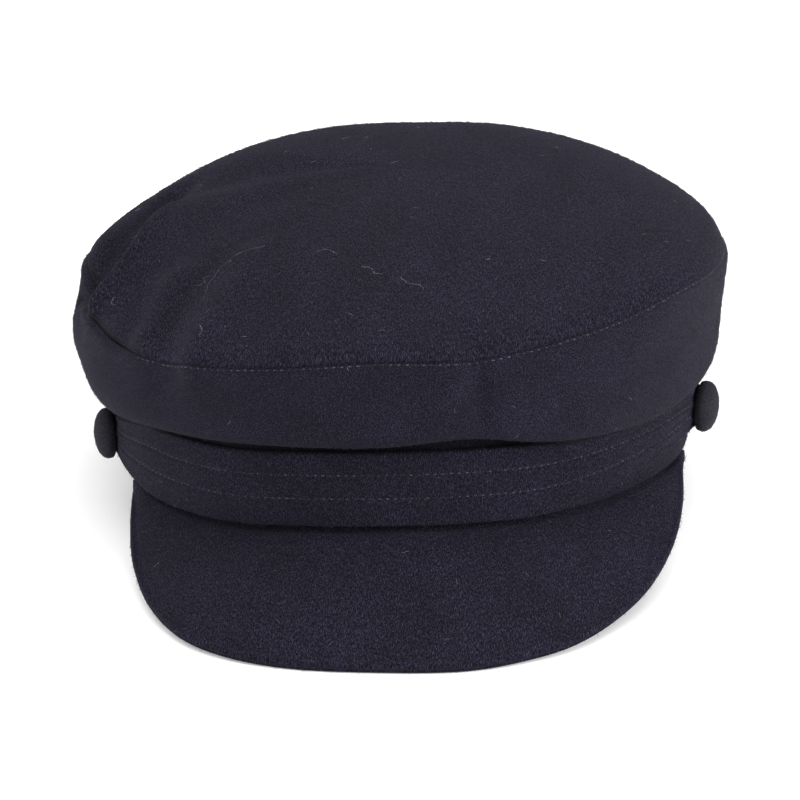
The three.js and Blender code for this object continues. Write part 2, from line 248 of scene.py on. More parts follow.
@dataclass(frozen=True)
class CrownForm:
    """The shape of the crown: its section at every angle and the folds in its cloth.

    Attributes:
        oval: The headband's oval.
        cloth: Thickness of the felted wool.
        band_height: Rim to crown joint.
        band_wall: Thickness of the headband.
        front_rise: Rim above the floor in front.
        side_height: Side panel from crown joint to seam where it stands straight.
        overhang: Reach of the side panel past the band.
        lip_hang: Deepest hang of the lip below the crown joint.
        lip_round: Radius of that lip.
        dome_rise: Summit above the mean height of the seam.
        summit_back: Summit behind the middle of the band.
        summit_side: Summit to the right of it.
        fold_depth: Deepest push of a fold.
        fold_width: Half-width of a fold of share 1.
        radius: Mean distance from the summit to the seam.
        roll: Width of the turned edge of the top panel at the seam.
        groove: Depth of the seam's groove.
        topstitch: Topstitching below the seam.
        channel: Depth that the topstitching pulls the cloth in.
        side_cloth: Length of the side panel's cloth from the seam to the band, laid flat.
        seam_loss: Share of light taken off by the painted shade in the left part of the seam.
        seam_shade: Half-width of that painted shade line.
        gap_light: Share of light that the painted shade keeps deep in the gap under the lip.
        underside: Shares of the side panel's cloth where the painted shade of its underside starts and
            is darkest.
    """

    oval: Oval
    cloth: float = 2.4 * MM
    band_height: float = 30 * MM
    band_wall: float = 3 * MM
    front_rise: float = 29 * MM
    side_height: float = 45 * MM
    overhang: float = 12 * MM
    lip_hang: float = 6 * MM
    lip_round: float = 3 * MM
    dome_rise: float = 26.5 * MM
    summit_back: float = 8 * MM
    summit_side: float = 2 * MM
    fold_depth: float = 6 * MM
    fold_width: float = 10 * MM
    radius: float = 107.25 * MM
    roll: float = 6.5 * MM
    groove: float = 1.7 * MM
    topstitch: float = 0.8 * MM
    channel: float = 0.3 * MM
    side_cloth: float = 72 * MM
    seam_loss: float = 0.8
    seam_shade: float = 1.1 * MM
    gap_light: float = 0.15
    underside: tuple[float, float] = (0.74, 0.83)

    # rim: rim height, share of front_rise
    # hang: lip below the crown joint, share of lip_hang
    # lip, belly, edge: reach of the lip, the widest place and the seam, share of overhang
    # rise: place of the belly between lip and seam
    # seam: seam above the crown joint, share of side_height
    # full: how long the top panel stays high before it falls to the seam (its power)
    SECTIONS = Table(
        ("at", "rim", "hang", "lip", "belly", "rise", "edge", "seam", "full"),
        (
            (-150, 0.0, -0.15, 0.7, 1.08, 0.5, 0.98, 0.93, 3.1),
            (-120, 0.1, 0.15, 0.68, 1.06, 0.45, 0.86, 0.86, 3.05),
            (-102, 0.26, 0.47, 0.68, 1.16, 0.38, 0.95, 0.79, 2.05),
            (-90, 0.38, 0.79, 0.58, 1.22, 0.34, 1.0, 0.74, 2.05),
            (-75, 0.53, 0.83, 0.58, 1.02, 0.48, 0.86, 0.53, 2.0),
            (-60, 0.62, 0.64, 0.66, 1.1, 0.42, 0.85, 0.46, 2.1),
            (-45, 0.7, 0.17, 0.7, 1.0, 0.42, 0.8, 0.48, 2.1),
            (-30, 0.8, 0.0, 0.72, 0.95, 0.45, 0.79, 0.53, 2.2),
            (-15, 0.93, 0.07, 0.74, 0.95, 0.45, 0.78, 0.56, 2.2),
            (0, 1.0, 0.07, 0.76, 0.93, 0.45, 0.76, 0.59, 2.2),
            (15, 1.0, -0.26, 0.78, 0.93, 0.45, 0.76, 0.58, 2.2),
            (30, 0.95, 0.34, 0.72, 0.92, 0.5, 0.8, 0.66, 2.3),
            (45, 0.9, 0.69, 0.62, 0.92, 0.55, 0.89, 0.74, 2.3),
            (60, 0.84, 0.86, 0.48, 0.84, 0.6, 1.04, 0.82, 2.4),
            (90, 0.63, 0.25, 0.42, 0.8, 0.45, 0.95, 0.8, 3.75),
            (120, 0.28, 0.0, 0.5, 0.95, 0.6, 0.78, 0.91, 4.1),
            (150, 0.0, -0.3, 0.65, 1.05, 0.5, 0.94, 0.98, 3.65),
            (180, 0.0, -0.3, 0.7, 1.08, 0.5, 1.02, 0.88, 3.15),
        ),
    )

    # Each fold runs along a line on the cloth laid flat, from the summit outwards, 1 at the seam.
    # push: share of fold_depth, outwards if above 0; spread: share of fold_width
    FOLDS = (
        # from_at, from_out, to_at, to_out, push, spread
        (-97, 0.77, -73, 0.97, 0.3, 0.7),
        (-73, 0.98, -83, 1.12, 0.12, 0.6),
        (-107, 0.78, -81, 0.97, -0.7, 0.7),
        (-81, 0.98, -91, 1.12, -0.12, 0.6),
        (-69, 0.82, -57, 0.95, -0.25, 0.7),
        (-61, 0.79, -52, 0.93, 0.25, 0.6),
        (-53, 0.82, -42, 1.04, -0.3, 0.8),
        (-48, 0.62, -36, 1.0, 0.3, 0.65),
        (-30, 0.78, -18, 0.99, -0.2, 0.9),
        (16, 0.95, 17, 1.18, -0.3, 0.45),
        (12, 1.05, 10, 1.12, 0.3, 0.6),
        (-95.5, 0.76, -71, 0.975, 0.35, 0.3),
        (-99, 0.77, -74.4, 0.975, -0.7, 0.3),
        (-74, 0.985, -81, 1.08, 0.08, 0.24),
        (-77.6, 0.985, -85, 1.08, -0.35, 0.22),
    )

    # Lines of painted shade along the creases, as above; loss: share of light lost; spread: share of
    # fold_width
    CRUSHED = (
        # from_at, from_out, to_at, to_out, loss, spread
        (-98, 0.765, -73.4, 0.98, 0.8, 0.17),
        (-104, 0.79, -80, 0.98, 0.4, 0.7),
        (-75, 0.98, -82, 1.07, 0.7, 0.14),
    )

    # Angles between which the seam's painted shade line sets in on the left rear, and ends in front
    SEAM_SETS_IN = (-128.0, -112.0)
    SEAM_ENDS = (-60.0, -48.0)

    # Depth below the lip, share of its overhang, at which light comes in and is full
    LIGHT_ENTERS = (0.44, 0.8)

    def share(self, name: str, angle: Array) -> Array:
        """Value of a column of the section table at angles in degrees."""
        return self.SECTIONS.round_value(name, angle)

    def rim(self, angle: Array) -> Array:
        """Height of the rim above the floor, never below it."""
        return np.maximum(0.0, self.front_rise * self.share("rim", angle))

    def joint(self, angle: Array) -> Array:
        """Height of the crown joint, on top of the band."""
        return self.rim(angle) + self.band_height

    def seam(self, angle: Array) -> tuple[Array, Array]:
        """Reach and height of the seam between the top and the side panel."""
        height = self.joint(angle) + self.side_height * self.share("seam", angle)
        return self.overhang * self.share("edge", angle), height

    def sunk(self, angle: Array) -> Array:
        """How far the seam is drawn in: barely in front, fully at the sides and the back."""
        front = 1 - smoothstep(np.abs((angle - 12 + 180) % TURN - 180), 54.0, 72.0)
        return self.groove * (1 - 0.92 * front)

    def summit(self) -> Array:
        """Highest point of the top panel.

        Returns:
            The point.
        """
        mean_seam = self.seam(np.arange(0, TURN, 3.0))[1].mean()
        x, y = self.oval.middle
        return np.array([x + self.summit_side, y + self.summit_back, mean_seam + self.dome_rise])

    def near(self, line: tuple[float, ...], place: Array) -> Array:
        """How near places on the cloth are to a line.

        Args:
            line: A row of FOLDS or CRUSHED.
            place: Places on the cloth laid flat.

        Returns:
            Shares, 1 on the line and 0 far from it.
        """
        from_at, from_out, to_at, to_out, _, spread = line
        start = flat_place(from_at, from_out)
        way = flat_place(to_at, to_out) - start
        offset = place - start
        along = np.clip(offset @ way / (way @ way), 0.0, 1.0)
        away = np.linalg.norm(offset - along[..., None] * way, axis=-1) * self.radius
        return bell(away, self.fold_width * spread)

    def fold_push(self, angle: Array, reach: Array) -> Array:
        """How far the folds push the cloth outwards at places on it."""
        place = flat_place(angle, reach)
        return self.fold_depth * sum(fold[4] * self.near(fold, place) for fold in self.FOLDS)

    def kept(self, angle: Array, reach: Array) -> Array:
        """Share of light that the crown's cloth keeps under its painted shade.

        Args:
            angle: Angles in degrees.
            reach: Shares of the way from the summit to the seam, above 1 on the side panel.

        Returns:
            The shares, lower where shade is painted along the crease lines and in the left part of the
            seam.
        """
        place = flat_place(angle, reach)
        left = smoothstep(angle, *self.SEAM_SETS_IN) * (1 - smoothstep(angle, *self.SEAM_ENDS))
        kept = 1 - self.seam_loss * left * bell((reach - 1) * self.radius, self.seam_shade)
        for line in self.CRUSHED:
            kept = kept * (1 - line[4] * self.near(line, place))
        return kept

    def lit(self, angle: Array, out: Array, height: Array) -> Array:
        """Share of light that a face under the lip keeps.

        Args:
            angle: Angles in degrees.
            out: Reaches of the face past the band's outer oval.
            height: Its heights.

        Returns:
            The shares, least right under the lip, where it reaches far past the face.
        """
        over = np.maximum(self.overhang * self.share("lip", angle) - out, MM)
        below = self.joint(angle) - self.lip_hang * self.share("hang", angle) - height
        return self.gap_light + (1 - self.gap_light) * smoothstep(below / over, *self.LIGHT_ENTERS)

    def folded(self, points: Array, angle: Array, reach: Array) -> Array:
        """Moves points of the crown by its folds: up on the top panel, outwards on the side.

        Args:
            points: The points.
            angle: Their angles in degrees.
            reach: Shares of the way from the summit to the seam, above 1 on the side panel.

        Returns:
            The moved points.
        """
        turn = smoothstep(reach, 0.75, 1.15) * (math.pi / 2)
        push = self.fold_push(angle, reach)
        moved = points + self.oval.outward(angle) * (push * np.sin(turn))[..., None]
        moved[..., 2] += push * np.cos(turn)
        return moved

    def top_face(self, angle: Array, reach: Array) -> Array:
        """Points of the top panel's outer face, which rolls down into the seam at its edge.

        Args:
            angle: Angles in degrees.
            reach: Shares of the way from the summit to the seam.

        Returns:
            One point in each row.
        """
        out, height = self.seam(angle)
        summit = self.summit()
        edge = self.oval.place(angle, out, height + self.cloth)
        points = summit + (edge - summit) * reach[..., None]
        points[..., 2] = summit[2] + (edge[..., 2] - summit[2]) * reach ** self.share("full", angle)
        start = 1 - self.roll / self.radius
        t = np.clip((reach - start) / (1 - start), 0.0, 1.0) ** 2
        points -= self.oval.outward(angle) * (t * self.sunk(angle))[..., None]
        points[..., 2] -= t * (self.cloth - SEAM_GAP / 2)
        return self.folded(points, angle, reach)

    def top_under(self, angle: Array, reach: Array) -> Array:
        """Points of the top panel's inner face, one thickness of cloth below the outer one.

        Args:
            angle: Angles in degrees.
            reach: Shares of the way from the summit to the seam.

        Returns:
            One point in each row.
        """
        inner = np.minimum(reach, 1.0) * (1 - 2 * self.cloth / self.radius)
        points = self.top_face(angle, inner)
        step = 0.004
        inward = np.maximum(inner - step, 0.0)
        across = self.top_face(angle, inner + step) - self.top_face(angle, inward)
        around = self.top_face(angle + 1, inner + step) - self.top_face(angle - 1, inner + step)
        normal = np.cross(around, across)
        normal /= np.maximum(np.linalg.norm(normal, axis=-1, keepdims=True), 1e-12)
        normal *= np.where(normal[..., 2:] < 0, -1.0, 1.0)
        return points - normal * self.cloth

    def side_line(self, angle: Array, samples: int = 121) -> tuple[Array, Array]:
        """The side panel's outer line at angles, from the band over the lip up to the seam.

        Args:
            angle: Angles in degrees.
            samples: Points along each line.

        Returns:
            Reach and height of each point, and its distance from the seam along the line.
        """
        base = self.joint(angle) + GAP
        lip_out = self.overhang * self.share("lip", angle)
        lip_height = self.joint(angle) - self.lip_hang * self.share("hang", angle)
        seam_out, seam_height = self.seam(angle)
        top = seam_height - SEAM_GAP / 2
        belly_height = lip_height + (seam_height - lip_height) * self.share("rise", angle)
        knots = np.array([
            [np.full_like(base, -self.band_wall), base],
            [np.full_like(base, GAP), base],
            [lip_out - self.lip_round, (base + lip_height) / 2],
            [lip_out, lip_height],
            [lip_out + self.lip_round, lip_height + self.lip_round],
            [self.overhang * self.share("belly", angle), belly_height],
            [seam_out, top],
        ]).transpose(2, 0, 1)
        line = centripetal(knots, samples)
        steps = np.linalg.norm(np.diff(line, axis=1), axis=-1)
        walked = np.concatenate([np.zeros((len(steps), 1)), np.cumsum(steps, axis=1)], axis=1)
        return line, walked[:, -1:] - walked

    def side_point(self, angle: Array, down: Array, layer: Array) -> Array:
        """Points of the side panel.

        Args:
            angle: Angles in degrees.
            down: Share of the way from the seam (0) down to the band (1).
            layer: 0 on the outer face, 1 on the inner one.

        Returns:
            One point in each row.
        """
        angles, group = np.unique(np.round(angle, 6), return_inverse=True)
        lines, walks = self.side_line(angles)
        out, height = np.empty(len(angle)), np.empty(len(angle))
        out_in, height_in, walk = out.copy(), height.copy(), out.copy()
        for i in range(len(angles)):
            mine = group == i
            line, left = lines[i][::-1], walks[i][::-1]
            along = np.gradient(line, axis=0)
            along /= np.maximum(np.linalg.norm(along, axis=1, keepdims=True), 1e-12)
            distance = down[mine] * left[-1]
            walk[mine] = distance
            out[mine] = np.interp(distance, left, line[:, 0])
            height[mine] = np.interp(distance, left, line[:, 1])
            out_in[mine] = np.interp(distance, left, along[:, 1])
            height_in[mine] = -np.interp(distance, left, along[:, 0])
        t = np.clip(1 - walk / (self.roll / 2), 0.0, 1.0) ** 2
        dip = t * self.sunk(angle) + self.channel * bell(walk - self.topstitch, 0.8 * MM)
        depth = dip * (1 - layer) + self.cloth * layer
        seat = smoothstep(down, 0.86, 1.0) * layer
        out_at = out + out_in * depth
        height_at = height + height_in * depth + seat * self.cloth * 0.2
        reach = 1 + walk / self.radius
        return self.folded(self.oval.place(angle, out_at, height_at), angle, reach)


def centripetal(knots: Array, samples: int) -> Array:
    """Smooth centripetal curves through knots.

    Args:
        knots: Curves by knots by coordinates.
        samples: Points wanted along each curve.

    Returns:
        Curves by samples by coordinates.
    """
    first = 2 * knots[:, :1] - knots[:, 1:2]
    last = 2 * knots[:, -1:] - knots[:, -2:-1]
    path = np.concatenate([first, knots, last], axis=1)
    gaps = np.sqrt(np.maximum(np.linalg.norm(np.diff(path, axis=1), axis=-1), 1e-9))
    spans = knots.shape[1] - 1
    at = np.linspace(0, spans, samples)
    i = np.minimum(at.astype(int), spans - 1)
    t = (at - i)[None, :, None]
    p0, p1, p2, p3 = (path[:, i + k] for k in range(4))
    d0, d1, d2 = (gaps[:, i + k][..., None] for k in range(3))
    leave = ((p1 - p0) / d0 - (p2 - p0) / (d0 + d1) + (p2 - p1) / d1) * d1
    enter = ((p2 - p1) / d1 - (p3 - p1) / (d1 + d2) + (p3 - p2) / d2) * d1
    t2, t3 = t * t, t * t * t
    return (
        (2 * t3 - 3 * t2 + 1) * p1 + (t3 - 2 * t2 + t) * leave
        + (3 * t2 - 2 * t3) * p2 + (t3 - t2) * enter
    )


def spun(profile: Sequence[tuple[float, float]], steps: int, start: float = 0.0,
         sweep: float = TURN, closed: bool = False) -> bmesh.types.BMesh:
    """Spins a profile round the Z axis into a body on the pattern, to be put in place afterwards.

    Args:
        profile: Radius and height of each point on the pattern.
        steps: Steps of the spin.
        start: Angle where it starts, in degrees.
        sweep: Angle that it covers.
        closed: Whether the profile's last point joins its first.

    Returns:
        The spun body, with its poles merged and the ends of an open sweep filled.
    """
    mesh = bmesh.new()
    turn = Matrix.Rotation(math.radians(start), 3, "Z")
    verts = [mesh.verts.new(turn @ Vector((0.0, -radius, height))) for radius, height in profile]
    edges = [mesh.edges.new(pair) for pair in zip(verts, verts[1:])]
    if closed:
        edges.append(mesh.edges.new((verts[-1], verts[0])))
    whole = abs(sweep - TURN) < 1e-6
    bmesh.ops.spin(
        mesh, geom=verts + edges, cent=(0, 0, 0), axis=(0, 0, 1), dvec=(0, 0, 0),
        angle=math.radians(sweep), steps=steps, use_merge=whole, use_duplicate=False,
    )
    bmesh.ops.remove_doubles(mesh, verts=mesh.verts, dist=1e-7)
    if not whole:
        bmesh.ops.holes_fill(mesh, edges=[e for e in mesh.edges if e.is_boundary], sides=0)
    bmesh.ops.recalc_face_normals(mesh, faces=mesh.faces)
    return mesh


def pattern_of(mesh: bpy.types.Mesh) -> tuple[Array, Array, Array]:
    """Angle in degrees, radius and height of every vertex of a spun pattern.

    Args:
        mesh: The pattern.

    Returns:
        The angles, radii and heights.
    """
    co = np.empty(len(mesh.vertices) * 3)
    mesh.vertices.foreach_get("co", co)
    x, y, z = co.reshape(-1, 3).T
    return np.degrees(np.arctan2(x, -y)), np.hypot(x, y), z


def lay_flat(mesh: bpy.types.Mesh, u: Array, v: Array, wrap: float = 0.0) -> None:
    """Writes the cloth's flat coordinates into the mesh as a UV map.

    Args:
        mesh: The mesh.
        u: First coordinate of each vertex, in metres.
        v: Second coordinate of each vertex.
        wrap: Length round the piece after which u starts again, or 0.
    """
    corner = np.empty(len(mesh.loops), int)
    mesh.loops.foreach_get("vertex_index", corner)
    uv = np.stack([u[corner], v[corner]], axis=-1)
    if wrap:
        starts = np.empty(len(mesh.polygons), int)
        totals = np.empty(len(mesh.polygons), int)
        mesh.polygons.foreach_get("loop_start", starts)
        mesh.polygons.foreach_get("loop_total", totals)
        face = np.repeat(np.arange(len(starts)), totals)
        highest = np.maximum.reduceat(uv[:, 0], starts)
        uv[:, 0] += wrap * (highest[face] - uv[:, 0] > wrap / 2)
    layer = mesh.uv_layers.new(name=CLOTH_MAP)
    layer.uv.foreach_set("vector", uv.astype(np.float32).ravel())


def show(mesh: bpy.types.Mesh, shown: Array) -> None:
    """Marks the vertices of a piece's outer face where fibres are grown."""
    layer = mesh.attributes.new(SHOWN, "FLOAT", "POINT")
    layer.data.foreach_set("value", shown.astype(np.float32))


def crush(mesh: bpy.types.Mesh, kept: Array) -> None:
    """Writes painted shade into a piece: the share of light its cloth's colour keeps at each vertex."""
    layer = mesh.attributes.new(KEPT, "FLOAT", "POINT")
    layer.data.foreach_set("value", kept.astype(np.float32))


def finished(name: str, mesh: bmesh.types.BMesh, place: Callable[[bpy.types.Mesh], Array],
             material: bpy.types.Material, slot: Slot,
             replaces: Sequence[str] = ()) -> bpy.types.Object:
    """Turns a pattern into a piece of the cap: placed, dressed and riding on the frame.

    Args:
        name: Name of the piece.
        mesh: The pattern, which is freed.
        place: Gives each vertex its place on the cap.
        material: Its material.
        slot: Its slot in the record; not used.
        replaces: Nodes that it stands for.

    Returns:
        The piece.
    """
    data = bpy.data.meshes.new(name)
    mesh.to_mesh(data)
    mesh.free()
    points = place(data)
    # pieces given no painted shade keep all their light
    if KEPT not in data.attributes:
        crush(data, np.ones(len(points)))
    data.vertices.foreach_set("co", points.astype(np.float32).ravel())
    data.update()
    outward_faces(data)
    data.polygons.foreach_set("use_smooth", np.ones(len(data.polygons), bool))
    data.materials.append(material)
    piece = bpy.data.objects.new(name, data)
    bpy.context.scene.collection.objects.link(piece)
    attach(piece, ROOT)
    if replaces:
        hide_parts(*replaces)
    LOG.info("%s: %d vertices, %d faces", name, len(data.vertices), len(data.polygons))
    return piece


def outward_faces(data: bpy.types.Mesh) -> None:
    """Turns a closed body's faces outwards if they point in.

    Args:
        data: Mesh of the body.
    """
    body = bmesh.new()
    body.from_mesh(data)
    if body.calc_volume(signed=True) < 0:
        bmesh.ops.reverse_faces(body, faces=body.faces)
        body.to_mesh(data)
    body.free()


@dataclass(frozen=True)
class NapFinish:
    """Felted wool with a short nap.

    Attributes:
        name: Name of its material.
        ground: Colour of the cloth.
        deep: Colour between its fibres.
        light: Colour of its palest fibres.
        grain: Size of the nap's mottling.
        fibre: Width of a fibre.
        pale: How much the pale fibres show.
        relief: Height of the nap.
        sheen: Strength of the soft rim light on the fibres.
    """

    name: str
    ground: tuple[float, float, float]
    deep: tuple[float, float, float]
    light: tuple[float, float, float]
    grain: float = 0.55 * MM
    fibre: float = 0.18 * MM
    pale: float = 1.0
    relief: float = 0.42 * MM
    sheen: float = 0.022

    def material(self, group: bpy.types.NodeTree) -> bpy.types.Material:
        """Builds the material.

        Args:
            group: The nap group.

        Returns:
            The material.
        """
        material = bpy.data.materials.new(self.name)
        material.use_nodes = True
        web = NodeWeb(material.node_tree)
        shader = material.node_tree.nodes["Principled BSDF"]
        flat = web.node("ShaderNodeUVMap", uv_map=CLOTH_MAP)
        nap = web.node("ShaderNodeGroup", node_tree=group)
        web.link(flat.outputs["UV"], nap.inputs["Cloth"])
        # the piece's painted shade, read from its vertex attribute
        kept = web.node("ShaderNodeAttribute", attribute_name=KEPT)
        web.link(kept.outputs["Fac"], nap.inputs["Kept"])
        for socket, value in (("Ground", self.ground), ("Deep", self.deep), ("Light", self.light)):
            nap.inputs[socket].default_value = (*value, 1.0)
        nap.inputs["Grain"].default_value = self.grain
        nap.inputs["Fibre"].default_value = self.fibre
        nap.inputs["Pale"].default_value = self.pale
        bump = web.node("ShaderNodeBump")
        bump.inputs["Strength"].default_value = 1.0
        bump.inputs["Distance"].default_value = self.relief
        web.link(nap.outputs["Height"], bump.inputs["Height"])
        web.link(nap.outputs["Colour"], shader.inputs["Base Color"])
        web.link(nap.outputs["Roughness"], shader.inputs["Roughness"])
        web.link(bump.outputs["Normal"], shader.inputs["Normal"])
        shader.inputs["Specular IOR Level"].default_value = 0.12
        shader.inputs["Sheen Weight"].default_value = self.sheen
        shader.inputs["Sheen Roughness"].default_value = 0.45
        shader.inputs["Sheen Tint"].default_value = (0.72, 0.72, 1.0, 1.0)
        return material


@dataclass(frozen=True)
class PlainFinish:
    """A fibre or thread in one tone, slightly varied along its length.

    Attributes:
        name: Name of its material.
        low: Darker colour.
        high: Lighter colour.
        patch: Size of the variation.
        roughness: Its roughness.
    """

    name: str
    low: tuple[float, float, float]
    high: tuple[float, float, float]
    patch: float = 3 * MM
    roughness: float = 0.7

    def material(self) -> bpy.types.Material:
        """Builds the material.

        Returns:
            The material.
        """
        material = bpy.data.materials.new(self.name)
        material.use_nodes = True
        web = NodeWeb(material.node_tree)
        shader = material.node_tree.nodes["Principled BSDF"]
        coordinates = web.node("ShaderNodeTexCoord")
        patches = web.noise(coordinates.outputs["Object"], 1 / self.patch, detail=1.0)
        colour = web.mix(web.remap(patches, 0.35, 0.65), (*self.low, 1.0), (*self.high, 1.0))
        web.link(colour, shader.inputs["Base Color"])
        shader.inputs["Roughness"].default_value = self.roughness
        shader.inputs["Specular IOR Level"].default_value = 0.3
        return material


Value = "bpy.types.NodeSocket | float | tuple"


class NodeWeb:
    """Adds nodes to one node tree and joins them."""

    def __init__(self, tree: bpy.types.NodeTree) -> None:
        """Takes the tree to add to."""
        self.tree = tree

    def node(self, kind: str, **settings: object) -> bpy.types.Node:
        """Adds a node.

        Args:
            kind: Type of the node.
            settings: Its settings by name.

        Returns:
            The node.
        """
        made = self.tree.nodes.new(kind)
        for name, value in settings.items():
            setattr(made, name, value)
        return made

    def link(self, source: bpy.types.NodeSocket, target: bpy.types.NodeSocket) -> None:
        """Joins two sockets."""
        self.tree.links.new(source, target)

    def feed(self, socket: bpy.types.NodeSocket, value: Value) -> None:
        """Gives a socket a value, or joins it to the socket given as one.

        Args:
            socket: The socket to feed.
            value: A plain value, or the socket to join it to.
        """
        if isinstance(value, bpy.types.NodeSocket):
            self.link(value, socket)
        else:
            socket.default_value = value

    def math(self, operation: str, first: Value, second: Value = 0.0) -> bpy.types.NodeSocket:
        """A Math node's result.

        Args:
            operation: What the node works out.
            first: Its first value.
            second: Its second value.

        Returns:
            The result's socket.
        """
        made = self.node("ShaderNodeMath", operation=operation)
        self.feed(made.inputs[0], first)
        self.feed(made.inputs[1], second)
        return made.outputs[0]

    def remap(self, value: Value, low: Value, high: Value, to_low: float = 0.0,
              to_high: float = 1.0) -> bpy.types.NodeSocket:
        """A value moved smoothly from one range to another and kept in it.

        Args:
            value: The value.
            low: Start of its range.
            high: End of its range.
            to_low: Start of the new range.
            to_high: End of the new range.

        Returns:
            The moved value's socket.
        """
        made = self.node("ShaderNodeMapRange", interpolation_type="SMOOTHSTEP")
        self.feed(made.inputs["Value"], value)
        self.feed(made.inputs["From Min"], low)
        self.feed(made.inputs["From Max"], high)
        made.inputs["To Min"].default_value = to_low
        made.inputs["To Max"].default_value = to_high
        return made.outputs["Result"]

    def mix(self, factor: Value, low: Value, high: Value,
            blend: str = "MIX") -> bpy.types.NodeSocket:
        """A mix of two colours.

        Args:
            factor: Share of the second colour.
            low: The first colour.
            high: The second colour.
            blend: How they are mixed.

        Returns:
            The mixed colour's socket.
        """
        made = self.node("ShaderNodeMix", data_type="RGBA", blend_type=blend)
        self.feed(made.inputs[0], factor)
        self.feed(made.inputs[6], low)
        self.feed(made.inputs[7], high)
        return made.outputs[2]

    def noise(self, vector: Value, scale: Value, detail: float = 2.0,
              distortion: float = 0.0) -> bpy.types.NodeSocket:
        """A noise texture's value, from 0 to 1.

        Args:
            vector: Where it is read.
            scale: Patches for each unit of length.
            detail: Finer layers added to it.
            distortion: How much it is warped.

        Returns:
            The value's socket.
        """
        made = self.node("ShaderNodeTexNoise")
        self.feed(made.inputs["Vector"], vector)
        self.feed(made.inputs["Scale"], scale)
        made.inputs["Detail"].default_value = detail
        made.inputs["Distortion"].default_value = distortion
        return made.outputs["Fac"]

    def stretched(self, vector: Value, turn: float, ratio: float) -> bpy.types.NodeSocket:
        """Coordinates turned in the cloth and squeezed along one direction, for streaks.

        Args:
            vector: The coordinates.
            turn: Angle in degrees.
            ratio: Squeeze along the streaks.

        Returns:
            The new coordinates' socket.
        """
        made = self.node("ShaderNodeMapping")
        self.feed(made.inputs["Vector"], vector)
        made.inputs["Rotation"].default_value = (0.0, 0.0, math.radians(turn))
        made.inputs["Scale"].default_value = (1.0, ratio, 1.0)
        return made.outputs["Vector"]


def nap_group() -> bpy.types.NodeTree:
    """Node group of the wool's nap: mottled grain, fibres lying in three directions, soft patches.

    Returns:
        The group, with flat cloth coordinates in and a colour, a roughness and a height out.
    """
    group = bpy.data.node_groups.new("wool_nap", "ShaderNodeTree")
    face = group.interface
    face.new_socket("Cloth", in_out="INPUT", socket_type="NodeSocketVector")
    for name in ("Ground", "Deep", "Light"):
        face.new_socket(name, in_out="INPUT", socket_type="NodeSocketColor")
    for name in ("Grain", "Fibre", "Pale", "Kept"):
        face.new_socket(name, in_out="INPUT", socket_type="NodeSocketFloat")
    face.new_socket("Colour", in_out="OUTPUT", socket_type="NodeSocketColor")
    face.new_socket("Roughness", in_out="OUTPUT", socket_type="NodeSocketFloat")
    face.new_socket("Height", in_out="OUTPUT", socket_type="NodeSocketFloat")
    web = NodeWeb(group)
    given = web.node("NodeGroupInput").outputs
    result = web.node("NodeGroupOutput").inputs

    grain = web.noise(given["Cloth"], web.math("DIVIDE", 1.0, given["Grain"]), detail=3.0)
    mottled = web.remap(grain, 0.34, 0.66)
    patches = web.noise(given["Cloth"], 45.0, detail=3.0)
    fibre_scale = web.math("DIVIDE", 1.0, given["Fibre"])
    streaks = None
    for turn, ratio in ((8.0, 0.2), (62.0, 0.24), (-48.0, 0.22)):
        lay = web.stretched(given["Cloth"], turn, ratio)
        thread = web.remap(web.noise(lay, fibre_scale, detail=1.0, distortion=0.6), 0.6, 0.74)
        streaks = thread if streaks is None else web.math("MAXIMUM", streaks, thread)

    cloth = web.mix(mottled, given["Deep"], given["Ground"])
    pale = web.math("MULTIPLY", streaks, given["Pale"])
    haired = web.mix(pale, cloth, given["Light"])
    # soft patches of tone, darkened by the painted shade that the piece's attribute brings in
    shade = web.math("MULTIPLY", web.remap(patches, 0.3, 0.7, 0.86, 1.14), given["Kept"])
    toned = web.node("ShaderNodeVectorMath", operation="SCALE")
    web.link(haired, toned.inputs[0])
    web.link(shade, toned.inputs["Scale"])
    web.link(toned.outputs[0], result["Colour"])
    web.link(web.remap(mottled, 0.0, 1.0, 0.97, 0.88), result["Roughness"])
    height = web.math("ADD", web.math("MULTIPLY", grain, 0.7), web.math("MULTIPLY", streaks, 0.3))
    web.link(height, result["Height"])
    return group


WOOL = NapFinish(
    "felted_wool",
    ground=(0.0054, 0.0047, 0.0110),
    deep=(0.0003, 0.0002, 0.0008),
    light=(0.044, 0.040, 0.079),
)
BUTTON_WOOL = NapFinish(
    "button_wool",
    ground=(0.0178, 0.0167, 0.0222),
    deep=(0.0064, 0.0059, 0.0080),
    light=(0.040, 0.038, 0.049),
    grain=0.5 * MM,
    fibre=0.15 * MM,
    relief=0.35 * MM,
    sheen=0.02,
)
THREAD = PlainFinish("sewing_thread", low=(0.006, 0.006, 0.012), high=(0.055, 0.054, 0.076))
# painted shade: near-black bodies standing in for the shadow inside needle holes
SHADOW = PlainFinish("needle_hole", low=(0.001, 0.001, 0.002), high=(0.002, 0.002, 0.003))
FUZZ = PlainFinish("wool_fuzz", low=(0.0035, 0.003, 0.008), high=(0.028, 0.025, 0.045), patch=0.5 * MM)
LINT = PlainFinish("pale_lint", low=(0.09, 0.09, 0.11), high=(0.24, 0.24, 0.27))


@dataclass(frozen=True)
class Wardrobe:
    """All materials of the cap, built once.

    Attributes:
        wool: Cloth of the crown, band, peak and strap.
        button: Cloth of the buttons.
        thread: Topstitching.
        shadow: Painted shade for the dark inside of needle holes.
        fuzz: Fibres that stand off the cloth.
        lint: Pale hairs caught on it.
    """

    wool: bpy.types.Material
    button: bpy.types.Material
    thread: bpy.types.Material
    shadow: bpy.types.Material
    fuzz: bpy.types.Material
    lint: bpy.types.Material

    @classmethod
    def build(cls) -> Wardrobe:
        """Builds every material.

        Returns:
            The materials.
        """
        group = nap_group()
        return cls(
            WOOL.material(group), BUTTON_WOOL.material(group),
            THREAD.material(), SHADOW.material(), FUZZ.material(), LINT.material(),
        )


